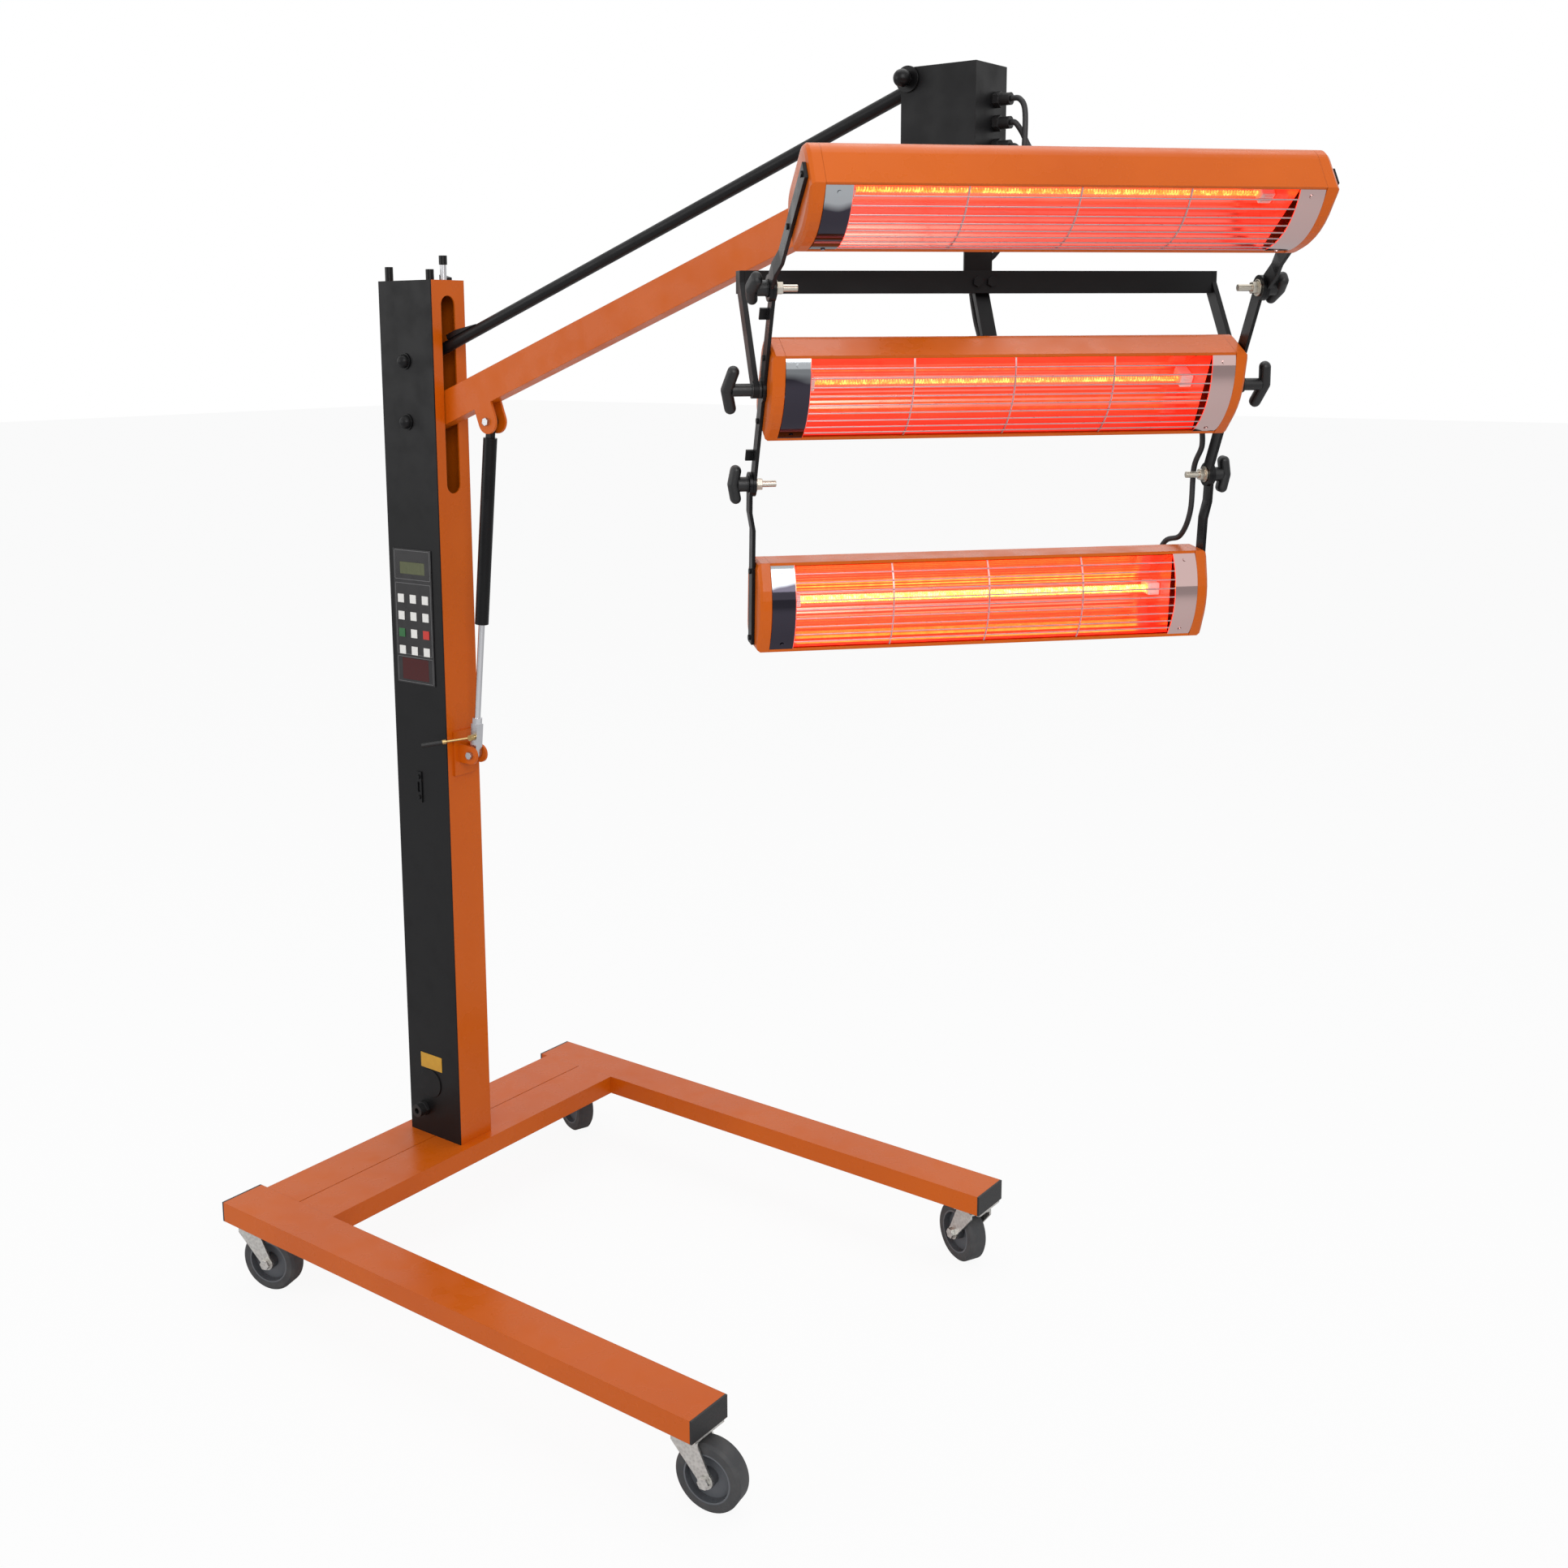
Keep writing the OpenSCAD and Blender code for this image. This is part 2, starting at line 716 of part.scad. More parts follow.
module mast_bolts() {
    face_y = -mast_w / 2;
    far_y = mast_w / 2;
    color(painted_black) {
        at_pivots() {
            bar_y(pivot_bolt_d, face_y - washer_t - seat - cut, far_y + pivot_nut_h);
            intersection() {
                translate([0, face_y - washer_t - seat, 0]) sphere(d = dome_d);
                bar_y(dome_d, face_y - washer_t - seat - dome_d, face_y - washer_t - seat);
            }
            ring_y(washer_d, pivot_bolt_d, face_y - washer_t - seat, face_y - seat);
            hex_y(pivot_nut_d, far_y + seat, far_y + pivot_nut_h);
            for (k = [-1, 1]) {
                y0 = k < 0 ? face_y + cover_t + seat : arm_w / 2 + run;
                y1 = k < 0 ? -arm_w / 2 - run : far_y - mast_wall - seat;
                ring_y(spacer_d, pivot_bolt_d, y0, y1);
            }
        }
    }
    color("silver") translate(bracket_at) {
        half = ear_gap / 2 + ear_t;
        bar_y(spring_bolt_d, -half - spring_bolt_head_h, half + spring_bolt_head_h);
        for (k = [-1, 1])
            translate([0, k * (half + seat + spring_bolt_head_h / 2), 0])
                hex_y(spring_bolt_head, -spring_bolt_head_h / 2, spring_bolt_head_h / 2);
    }
}

module keypad() {
    face_y = -mast_w / 2;
    low = base_top + panel_low;
    color(panel_black) difference() {
        translate([panel_x - panel_w / 2, face_y - panel_t, low]) cube([panel_w, panel_t, panel_h]);
        translate([panel_x - lcd_w / 2, face_y - panel_t - cut, low + lcd_low])
            cube([lcd_w, window_in + cut, lcd_h]);
        translate([panel_x - status_w / 2, face_y - panel_t - cut, low + status_low])
            cube([status_w, window_in + cut, status_h]);
    }
    color("white") for (row = [0 : 3]) for (col = [-1, 0, 1])
        translate([panel_x + col * key_pitch, face_y - panel_t - key_rise, low + key_low + row * key_pitch])
            translate([-key_w / 2, 0, -key_w / 2]) cube([key_w, key_rise + window_in / 2, key_w]);
}

module panel_windows() {
    y0 = -mast_w / 2 - panel_t + window_in - seat - window_t;
    low = base_top + panel_low;
    color("olivedrab") translate([panel_x - lcd_w / 2 + seat, y0, low + lcd_low + seat])
        cube([lcd_w - 2 * seat, window_t, lcd_h - 2 * seat]);
    color("darkred") translate([panel_x - status_w / 2 + seat, y0, low + status_low + seat])
        cube([status_w - 2 * seat, window_t, status_h - 2 * seat]);
}

module control_board() {
    inner_y = -mast_w / 2 + cover_t + seat;
    low = base_top + panel_low + (panel_h - board_h) / 2;
    relay_low = low + board_h - relay_h - standoff_d;
    standoff_x = board_w / 2 - standoff_d;
    standoff_pitch = board_h - 2 * standoff_d;
    color("darkgreen") {
        translate([panel_x - board_w / 2, inner_y + standoff_h, low]) cube([board_w, board_t, board_h]);
        for (x = [-1, 1]) for (z = [0, 1])
            translate([panel_x + x * standoff_x, 0, low + standoff_d + z * standoff_pitch])
                bar_y(standoff_d, inner_y, inner_y + standoff_h + board_t / 2);
        translate([panel_x - relay_w / 2, inner_y + standoff_h + board_t / 2, low + standoff_d])
            cube([relay_w, relay_t, relay_h]);
        translate([panel_x - relay_w / 2, inner_y + standoff_h + board_t / 2, relay_low])
            cube([relay_w, relay_t / 2, relay_h]);
    }
}

module mains_gland() {
    face_y = -mast_w / 2;
    color("black") translate([gland_x, 0, base_top + gland_z]) difference() {
        union() {
            hex_y(gland_hex, face_y - seat - gland_hex_t, face_y - seat);
            bar_y(gland_dome_d, face_y - seat - gland_dome_l, face_y - seat - gland_hex_t / 2);
            bar_y(gland_shank_d, face_y - seat - cut, face_y + gland_shank_l);
        }
        bar_y(cable_bore, face_y - gland_dome_l - 2 * cut, face_y + gland_shank_l + cut);
    }
}

module spring_bracket() {
    color("orangered") difference() {
        union() {
            translate([mast_d / 2, -bracket_plate_w / 2, bracket_at[2] - bracket_plate_h / 2])
                cube([bracket_plate_t, bracket_plate_w, bracket_plate_h]);
            for (k = [-1, 1]) {
                y0 = k < 0 ? -ear_gap / 2 - ear_t : ear_gap / 2;
                translate(bracket_at) bar_y(2 * bracket_r, y0, y0 + ear_t);
                translate([mast_d / 2, y0, bracket_at[2] - bracket_r])
                    cube([bracket_out, ear_t, 2 * bracket_r]);
            }
        }
        translate(bracket_at)
            bar_y(spring_bolt_d + 2 * fit, -ear_gap / 2 - ear_t - cut, ear_gap / 2 + ear_t + cut);
    }
}

// Arm

module arm_beam() {
    color("orangered") in_arm() {
        difference() {
            union() {
                translate([-arm_tail, 0, -arm_h / 2])
                    box_tube(arm_tail + arm_len + arm_nose, arm_w, arm_h, arm_wall);
                for (x = [0, arm_len]) translate([x, 0, 0]) bar_y(spacer_d, -arm_w / 2, arm_w / 2);
                for (k = [-1, 1]) translate([ear_along, 0, -ear_drop]) {
                    y0 = k < 0 ? -ear_gap / 2 - ear_t : ear_gap / 2;
                    bar_y(2 * ear_r, y0, y0 + ear_t);
                    translate([-ear_r, y0, 0]) cube([2 * ear_r, ear_t, ear_drop - arm_h / 2 + arm_wall / 2]);
                }
            }
            for (x = [0, arm_len]) translate([x, 0, 0]) bar_y(pivot_bolt_d + 2 * fit, -arm_w, arm_w);
        }
        for (k = [-1, 1])
            translate([ear_along, k * (ear_gap / 2 + ear_t + spring_bolt_head_h / 2), -ear_drop])
                hex_y(spring_bolt_head, -spring_bolt_head_h / 2 - seat, spring_bolt_head_h / 2);
    }
}

module upper_link() {
    color(painted_black) translate([0, 0, link_rise]) in_arm() difference() {
        union() {
            rotate([0, 90, 0]) cylinder(d = link_d, h = arm_len);
            for (x = [0, arm_len]) translate([x, 0, 0]) bar_y(link_eye_d, -arm_w / 2, arm_w / 2);
            translate([link_stop_at, 0, link_d / 2 - cut]) rotate([90, 0, 0])
                translate([0, 0, -link_stop_w / 2]) linear_extrude(link_stop_w)
                    polygon([
                        [-link_stop_l, 0], [link_stop_l / 2, 0],
                        [-link_stop_l / 2, link_stop_h], [-link_stop_l, link_stop_h]]);
        }
        bar_y(pivot_bolt_d + 2 * fit, -arm_w, arm_w);
        translate([arm_len, 0, 0]) bar_y(pivot_bolt_d + 2 * open_fit, -arm_w, arm_w);
    }
}

module spring_cylinder() {
    top = spring_len - eye_to_cyl;
    low = top - cyl_len;
    color(painted_black) in_spring() {
        difference() {
            translate([0, 0, low]) cylinder(d = cyl_d, h = cyl_len);
            translate([0, 0, low - cut]) cylinder(d = rod_d + 2 * fit, h = gland_end + 2 * cut);
            translate([0, 0, low + gland_end])
                cylinder(d = cyl_d - 2 * cyl_wall, h = cyl_len - 2 * gland_end);
        }
        translate([0, 0, spring_len]) bar_y(2 * tang_r, -tang_t / 2, tang_t / 2);
        translate([0, 0, spring_len]) bar_y(spring_bolt_d, -ear_gap / 2 + run, ear_gap / 2 - run);
        translate([-tang_r / 2, -tang_t / 2, top - cut]) cube([tang_r, tang_t, eye_to_cyl + cut]);
    }
}

module spring_rod() {
    low = spring_len - eye_to_cyl - cyl_len;
    bore_r = cyl_d / 2 - cyl_wall;
    color("silver") in_spring() difference() {
        union() {
            cylinder(d = rod_d, h = low + rod_inside);
            translate([0, 0, low + rod_inside - piston_h]) cylinder(r = bore_r - run, h = piston_h);
            translate([0, 0, clevis_len]) cylinder(d = clevis_nut_d, h = clevis_nut_h, $fn = 6);
            bar_y(clevis_w, -clevis_w / 2, clevis_w / 2);
            translate([-clevis_w / 2, -clevis_w / 2, 0]) cube([clevis_w, clevis_w, clevis_len]);
        }
        bar_y(spring_bolt_d + 2 * fit, -clevis_w, clevis_w);
        translate([0, 0, lever_up]) bar_y(lever_pin_d + 2 * fit, -clevis_w, clevis_w / 4);
    }
}

module release_lever() {
    color("goldenrod") in_spring() translate([0, -clevis_w / 2 - run, lever_up]) {
        bar_y(lever_boss_d, -lever_boss_l, 0);
        bar_y(lever_pin_d, -cut, clevis_w / 2);
        rotate([0, 0, lever_turn]) rotate([0, 90 + atan(lever_drop / lever_l), 0]) {
            cylinder(d = lever_d, h = lever_l);
            translate([0, 0, lever_l - lever_grip_l]) cylinder(d = lever_grip_d, h = lever_grip_l);
        }
    }
}

// Head

module head_frame() translate(head_at + [-head_tail, 0, -head_low]) children();

module head_box() {
    color(painted_black) {
        difference() {
            head_frame() difference() {
                translate([0, -head_w / 2, 0]) cube([head_d, head_w, head_h]);
                translate([-cut, -head_w / 2 + head_t, head_t])
                    cube([head_d - head_t + cut, head_w - 2 * head_t, head_h - 2 * head_t]);
                translate([-cut, -head_w / 2 + head_t, -cut])
                    cube([head_tail + arm_nose + arm_h / 4 + cut, head_w - 2 * head_t, head_t + 2 * cut]);
            }
            head_frame() translate([-cut, -link_d / 2 - notch_gap, head_h - head_t - cut])
                cube([head_tail + notch_gap + cut, link_d + 2 * notch_gap, head_t + 2 * cut]);
            for (k = [0, 1]) translate(head_at + [0, 0, k * link_rise])
                bar_y(pivot_bolt_d + 2 * fit, -head_w, head_w);
            translate(post_at + [0, 0, -head_low - cut])
                cylinder(d = journal_d + 2 * fit, h = head_t + 2 * cut);
        }
        translate(post_at + [0, 0, -head_low + head_t]) difference() {
            cylinder(d = journal_d + 2 * sleeve_wall, h = sleeve_h);
            translate([0, 0, -cut]) cylinder(d = journal_d + 2 * fit, h = sleeve_h + 2 * cut);
        }
    }
}

module head_bolts() {
    face_y = head_w / 2;
    color(painted_black)
    for (k = [0, 1]) translate(head_at + [0, 0, k * link_rise]) {
        bar_y(pivot_bolt_d, -face_y - ring_t - ball_neck, face_y + pivot_nut_h);
        translate([0, -face_y - ring_t - ball_neck - ball_d / 3, 0]) sphere(d = ball_d);
        ring_y(ring_d, pivot_bolt_d, -face_y - ring_t, -face_y - seat);
        hex_y(pivot_nut_d, face_y + seat, face_y + pivot_nut_h);
        ring_y(spacer_d, pivot_bolt_d, -face_y + head_t + seat, -arm_w / 2 - run);
        ring_y(spacer_d, pivot_bolt_d, arm_w / 2 + run, face_y - head_t - seat);
    }
}

module head_glands() {
    face_x = head_d - head_tail + seat;
    top_z = head_h - head_low - head_gland_top;
    color("black")
    for (k = [0 : 2])
        translate(head_at + [face_x, head_gland_y, top_z - k * head_gland_pitch])
            rotate([0, 90, 0]) {
                cylinder(d = head_gland_d, h = head_gland_hex_l, $fn = 6);
                cylinder(d = head_gland_nose_d, h = head_gland_l);
            }
}

// One stretch of a lead
module stretch(points, ends, k) {
    color(moulded_black) in_yoke() lead(points, ends[k], ends[k + 1]);
}

// The same stretch of all three leads
module stretches(k) {
    stretch(mid_route, mid_ends, k);
    stretch(top_route, top_ends, k);
    stretch(bottom_route, bottom_ends, k);
}

// Yoke

module yoke_post() {
    plate_low = -bar_drop - bar_h / 2;
    post_low = -bar_drop + bar_h / 2 + post_lift;
    sleeve_top = -head_low + head_t + sleeve_h;
    color(painted_black) in_yoke() {
        translate([0, 0, post_low]) cylinder(d = post_d, h = -head_low - run - post_low);
        translate([0, 0, -head_low - run - collar_h]) cylinder(d = collar_d, h = collar_h);
        translate([0, 0, -head_low - run - cut])
            cylinder(d = journal_d, h = head_t + sleeve_h + 2 * run + cut + journal_over);
        translate([0, 0, sleeve_top + run]) cylinder(d = collar_d - 2 * sleeve_wall, h = collar_h);
        translate([bar_x - bar_d / 2 - foot_t, -foot_w / 2, plate_low]) cube([foot_t, foot_w, foot_h]);
    }
}

module yoke_crossbar() {
    low = -bar_h / 2;
    color(painted_black) in_yoke() translate([bar_x, 0, -bar_drop]) {
        translate([0, -bar_end + seat, low]) rotate([0, 0, 90])
            box_tube(2 * (bar_end - seat), bar_d, bar_h, bar_wall);
        for (y = [-1, 1])
            translate([bar_d / 2 + seat, y * foot_bolt_pitch / 2, 0]) rotate([0, 90, 0])
                cylinder(d = foot_bolt_d, h = foot_bolt_h, $fn = 6);
        translate([0, stay_w / 2, 0]) rotate([90, 0, 0]) linear_extrude(stay_w) polygon([
            [-stay_t, low + bar_wall / 2],
            [stay_t / 2, low + bar_wall / 2],
            [stay_reach + stay_t / 2, low - stay_fall + stay_t / 2],
            [stay_reach + stay_t / 2, low - stay_fall - stay_t],
            [stay_reach - stay_t / 2, low - stay_fall - stay_t],
            [stay_reach - stay_t / 2, low - stay_fall]]);
    }
}

module yoke_arm(side) {
    reach = norm([tee_x - bar_x, tee_drop - bar_drop]);
    lean = atan((tee_x - bar_x) / (tee_drop - bar_drop));
    color(painted_black) in_yoke() difference() {
        union() {
            translate([bar_x - bar_d / 2, side > 0 ? bar_end : -bar_end - yoke_t, -bar_drop - bar_h / 2])
                cube([bar_d, yoke_t, bar_h]);
            translate([tee_x, side > 0 ? bar_end : -bar_end - yoke_t, -tee_drop]) rotate([0, -lean, 0]) {
                translate([-yoke_w / 2, 0, 0]) cube([yoke_w, yoke_t, reach]);
                bar_y(yoke_w, 0, yoke_t);
            }
        }
        translate([tee_x, 0, -tee_drop])
            bar_y(tee_bolt_d + 2 * fit, side > 0 ? 0 : -lamp_len, side > 0 ? lamp_len : 0);
    }
}

// Rounded grip of a knob: two arms that sweep back from its middle, facing +Y
module grip(length, thick, width, hook) {
    r = thick / 2;
    for (k = [-1, 1]) hull() for (x = [-1, 1]) {
        translate([x * (width / 2 - r), r, 0]) sphere(r, $fn = 20);
        translate([x * (width / 2 - r), r - hook, k * (length / 2 - r)]) sphere(r, $fn = 20);
    }
}

module tee_knob(side) {
    color(moulded_black) in_set() mirror([0, side > 0 ? 0 : 1, 0]) {
        bar_y(tee_bolt_d, bar_out, tee_face + washer_t + cut);
        ring_y(hinge_washer_d, tee_bolt_d - cut, bar_out + side_t + seat, bar_end - seat);
        bar_y(hinge_washer_d, tee_face + seat, tee_face + washer_t);
        bar_y(tee_stem_d, tee_face + washer_t - seat, tee_face + washer_t + tee_stem_l + cut);
        translate([0, tee_face + washer_t + tee_stem_l, 0]) grip(tee_len, tee_thick, tee_width, tee_hook);
    }
}

module wing_knob(side) {
    face = hanger_out + side_t + seat;
    mirror([0, side > 0 ? 0 : 1, 0]) color(moulded_black) {
        bar_y(hinge_bolt_d, bar_out - bolt_tip, face + wing_hub_l);
        bar_y(hinge_washer_d, face, face + hinge_washer_t);
        bar_y(wing_hub_d, face + hinge_washer_t - seat, face + wing_hub_l + cut);
        translate([0, face + wing_hub_l, 0]) grip(wing_len, wing_thick, wing_width, wing_thick / 4);
        bar_y(hinge_washer_d, bar_out - seat - hinge_washer_t, bar_out - seat);
        hex_y(hinge_nut_d, bar_out - hinge_washer_t - seat - hinge_nut_h, bar_out - hinge_washer_t);
    }
}

// Bars beside the lamps

module side_bar() {
    difference() {
        union() {
            translate([-side_w / 2, bar_out, -hinge_a]) cube([side_w, side_t, 2 * hinge_a]);
            for (k = [-1, 1]) translate([0, 0, k * hinge_a]) bar_y(hinge_eye_d, bar_out, bar_out + side_t);
            bar_y(hinge_eye_d, bar_out, bar_out + side_t);
            for (k = [-1, 1]) translate([-side_w / 2, bar_out, k * (hinge_a - tab_at) - tab_l / 2])
                cube([tab_t, side_t + tab_out, tab_l]);
        }
        for (k = [-1, 1]) translate([0, 0, k * hinge_a])
            bar_y(hinge_bolt_d + 2 * fit, bar_out - cut, bar_out + side_t + cut);
        bar_y(tee_bolt_d + 2 * fit, bar_out - cut, bar_out + side_t + cut);
    }
    for (k = [-1, 1]) translate([0, 0, k * (lamp_h / 2 - 2 * screw_d)])
        bar_y(screw_d, bar_out + side_t + seat, bar_out + side_t + seat + screw_h);
}

module side_bars() {
    color(painted_black) in_set() {
        side_bar();
        mirror([0, 1, 0]) side_bar();
    }
}

// Bar from a hinge to the far edge of its lamp, stepping in beside the end cap
module hanger() {
    far = lamp_a + lamp_h / 2 - screw_d;
    difference() {
        union() {
            bar_y(hinge_eye_d, hanger_out, hanger_out + side_t);
            translate([side_w / 2, 0, 0]) rotate([0, -90, 0]) linear_extrude(side_w) polygon([
                [0, hanger_out], [jog_from, hanger_out], [jog_to, bar_out], [far, bar_out],
                [far, bar_out + side_t], [jog_to, bar_out + side_t], [jog_from, hanger_out + side_t],
                [0, hanger_out + side_t]]);
        }
        bar_y(hinge_bolt_d + 2 * fit, hanger_out - cut, hanger_out + side_t + cut);
    }
    for (k = [-1, 1]) translate([0, 0, lamp_a + k * (lamp_h / 2 - 2 * screw_d)])
        bar_y(screw_d, bar_out + side_t + seat, bar_out + side_t + seat + screw_h);
}

module hangers() {
    color(painted_black) {
        hanger();
        mirror([0, 1, 0]) hanger();
    }
}

// Lamps, drawn about the hinge line with the mouth towards +X

// Straight prism of the housing outline between two places along Y
module housing_prism(inset, y0, y1) {
    r = back_round - inset;
    half = lamp_h / 2 - inset;
    back = -lamp_back + inset;
    translate([0, y1, 0]) rotate([90, 0, 0]) linear_extrude(y1 - y0) union() {
        translate([back + r, -half]) square([lamp_lip - back - r, 2 * half]);
        translate([back, -half + r]) square([r + cut, 2 * half - 2 * r]);
        for (k = [-1, 1]) translate([back + r, k * (half - r)]) circle(r);
    }
}

// The bulged front between two places along Y
module front_prism(inset, y0, y1) {
    intersection() {
        translate([guard_n, 0, 0]) bar_y(2 * (guard_r - inset), y0, y1);
        translate([lamp_lip - cut, y0, -lamp_h / 2 + inset])
            cube([lamp_bulge + 2 * cut, y1 - y0, lamp_h - 2 * inset]);
    }
}

module end_cap() {
    y0 = inner_len / 2 + seat;
    hull() {
        housing_prism(0, y0, y0 + end_cap - cap_round_l);
        front_prism(0, y0, y0 + end_cap - cap_round_l);
        housing_prism(cap_round / 3, y0, y0 + end_cap - cap_round_l / 3);
        front_prism(cap_round / 3, y0, y0 + end_cap - cap_round_l / 3);
        housing_prism(cap_round, y0, lamp_len / 2);
        front_prism(cap_round, y0, lamp_len / 2);
    }
}

module lamp_housing() {
    half = inner_len / 2;
    color("orangered") {
        difference() {
            housing_prism(0, -half, half);
            housing_prism(lamp_wall, -half - cut, half + cut);
            translate([lamp_lip - lamp_wall - cut, -half - cut, -opening_h / 2])
                cube([lamp_wall + 2 * cut, inner_len + 2 * cut, opening_h]);
        }
        for (k = [-1, 1])
            translate([lamp_lip - lamp_wall, -half, k > 0 ? opening_h / 2 : -lamp_h / 2])
                cube([lamp_wall, inner_len, lip_h]);
        end_cap();
        mirror([0, 1, 0]) end_cap();
        translate([-lamp_back - seat, half - lamp_gland_in, lamp_gland_a]) rotate([0, -90, 0]) {
            cylinder(d = lamp_gland_d, h = lamp_gland_l / 2, $fn = 6);
            cylinder(d = lamp_gland_nose_d, h = lamp_gland_l);
        }
    }
}

function reflector_wave(t) = wave_h * (1 - cos(360 * reflector_waves * t)) / 2;
function reflector_n(t) = lamp_lip - lamp_wall - seat - reflector_depth * (1 - pow(t, 2));

module reflector_sheet(y0, y1) {
    half = opening_h / 2 - reflector_gap;
    steps = reflector_waves * steps_per_wave;
    inside = [for (i = [-steps : steps])
        [reflector_n(i / steps) + reflector_wave(i / steps), half * i / steps]];
    outside = [for (i = [steps : -1 : -steps]) [reflector_n(i / steps) - reflector_t, half * i / steps]];
    translate([0, y1, 0]) rotate([90, 0, 0]) linear_extrude(y1 - y0) polygon(concat(inside, outside));
}

module reflector_end(y0) {
    half = opening_h / 2 - reflector_gap;
    steps = reflector_waves;
    edge = [for (i = [-steps : steps]) [reflector_n(i / steps) + wave_h + seat, half * i / steps]];
    translate([0, y0 + reflector_t, 0]) rotate([90, 0, 0]) linear_extrude(reflector_t) polygon(edge);
}

module end_strip(side) {
    y0 = side > 0 ? mouth_len / 2 : -inner_len / 2 + seat;
    y1 = y0 + strip_w - seat;
    difference() {
        front_prism(-strip_t / 2, y0, y1);
        front_prism(strip_t / 2, y0 - cut, y1 + cut);
        translate([-lamp_back, y0 - cut, -lamp_h])
            cube([lamp_back + lamp_lip + seat, strip_w + 2 * cut, 2 * lamp_h]);
    }
    for (k = [-1, 1])
        translate([guard_n, y0 + strip_w / 2, 0]) rotate([0, k * guard_half * strip_screw_share, 0])
            translate([guard_r + strip_t / 2 + seat, 0, 0]) rotate([0, 90, 0])
                cylinder(d = strip_screw_d, h = screw_h / 2);
}

module lamp_reflector() {
    color("silver") {
        reflector_sheet(-mouth_len / 2 - strip_w / 2, mouth_len / 2 + strip_w / 2);
        for (k = [-1, 1]) {
            reflector_end(k > 0 ? mouth_len / 2 : -mouth_len / 2 - reflector_t);
            end_strip(k);
        }
    }
}

module lamp_heater() {
    tube_half = mouth_len / 2 - seat - holder_l;
    back_n = reflector_n(0) + 2 * wave_h + seat;
    color("mistyrose") translate([quartz_n, 0, 0]) bar_y(quartz_d, -tube_half, tube_half);
    color("white") for (k = [-1, 1]) {
        y0 = k > 0 ? tube_half + seat : -mouth_len / 2 + seat;
        translate([back_n, y0, -holder_h / 2])
            cube([quartz_n + holder_w / 2 - back_n, holder_l - 2 * seat, holder_h]);
    }
}

module lamp_guard() {
    half = mouth_len / 2 - seat;
    step = 2 * guard_half / (guard_wires + 1);
    color("gray") {
        for (i = [1 : guard_wires])
            translate([guard_n, 0, 0]) rotate([0, -guard_half + i * step, 0])
                translate([guard_r, 0, 0]) bar_y(wire_d, -half, half);
        for (i = [1 : guard_hoops])
            translate([guard_n, -half + 2 * half * i / (guard_hoops + 1) + hoop_w / 2, 0]) rotate([90, 0, 0])
                rotate([0, 0, -guard_half]) rotate_extrude(angle = 2 * guard_half)
                    translate([guard_r - hoop_t - wire_d / 4, 0]) square([hoop_t, hoop_w]);
    }
}

leg(-1);  // near_leg
leg(1);  // far_leg
cross_tubes();
leg_end_caps();
caster_plates();
caster_fork(front_caster_x, -1, near_front_yaw);  // near_front_fork
caster_wheel(front_caster_x, -1, near_front_yaw);  // near_front_wheel
caster_fork(front_caster_x, 1, far_front_yaw);  // far_front_fork
caster_wheel(front_caster_x, 1, far_front_yaw);  // far_front_wheel
caster_fork(rear_caster_x, -1, near_rear_yaw);  // near_rear_fork
caster_wheel(rear_caster_x, -1, near_rear_yaw);  // near_rear_wheel
caster_fork(rear_caster_x, 1, far_rear_yaw);  // far_rear_fork
caster_wheel(rear_caster_x, 1, far_rear_yaw);  // far_rear_wheel
mast_channel();
mast_cover();
mast_top_plate();
mast_bolts();
keypad();
panel_windows();
control_board();
mains_gland();
spring_bracket();
arm_beam();
upper_link();
spring_cylinder();
spring_rod();
release_lever();
head_box();
head_bolts();
head_glands();
stretches(0);  // head_leads
stretches(1);  // yoke_leads
yoke_post();
yoke_crossbar();
yoke_arm(-1);  // yoke_left_arm
yoke_arm(1);  // yoke_right_arm
tee_knob(-1);  // left_tee_knob
tee_knob(1);  // right_tee_knob
side_bars();
in_top_hinge() wing_knob(-1);  // top_left_knob
in_top_hinge() wing_knob(1);  // top_right_knob
in_bottom_hinge() wing_knob(-1);  // bottom_left_knob
in_bottom_hinge() wing_knob(1);  // bottom_right_knob
in_set() lamp_housing();  // mid_housing
in_set() lamp_reflector();  // mid_reflector
in_set() lamp_heater();  // mid_heater
in_set() lamp_guard();  // mid_guard
stretch(mid_route, mid_ends, 2);  // mid_lead
in_top_hinge() hangers();  // top_hangers
in_top() lamp_housing();  // top_housing
in_top() lamp_reflector();  // top_reflector
in_top() lamp_heater();  // top_heater
in_top() lamp_guard();  // top_guard
stretch(top_route, top_ends, 2);  // top_lead
in_bottom_hinge() mirror([0, 0, 1]) hangers();  // bottom_hangers
in_bottom() lamp_housing();  // bottom_housing
in_bottom() lamp_reflector();  // bottom_reflector
in_bottom() lamp_heater();  // bottom_heater
in_bottom() lamp_guard();  // bottom_guard
stretch(bottom_route, bottom_ends, 2);  // bottom_lead
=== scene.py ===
import json
import math

import bmesh
import bpy
from mathutils import Matrix, Vector


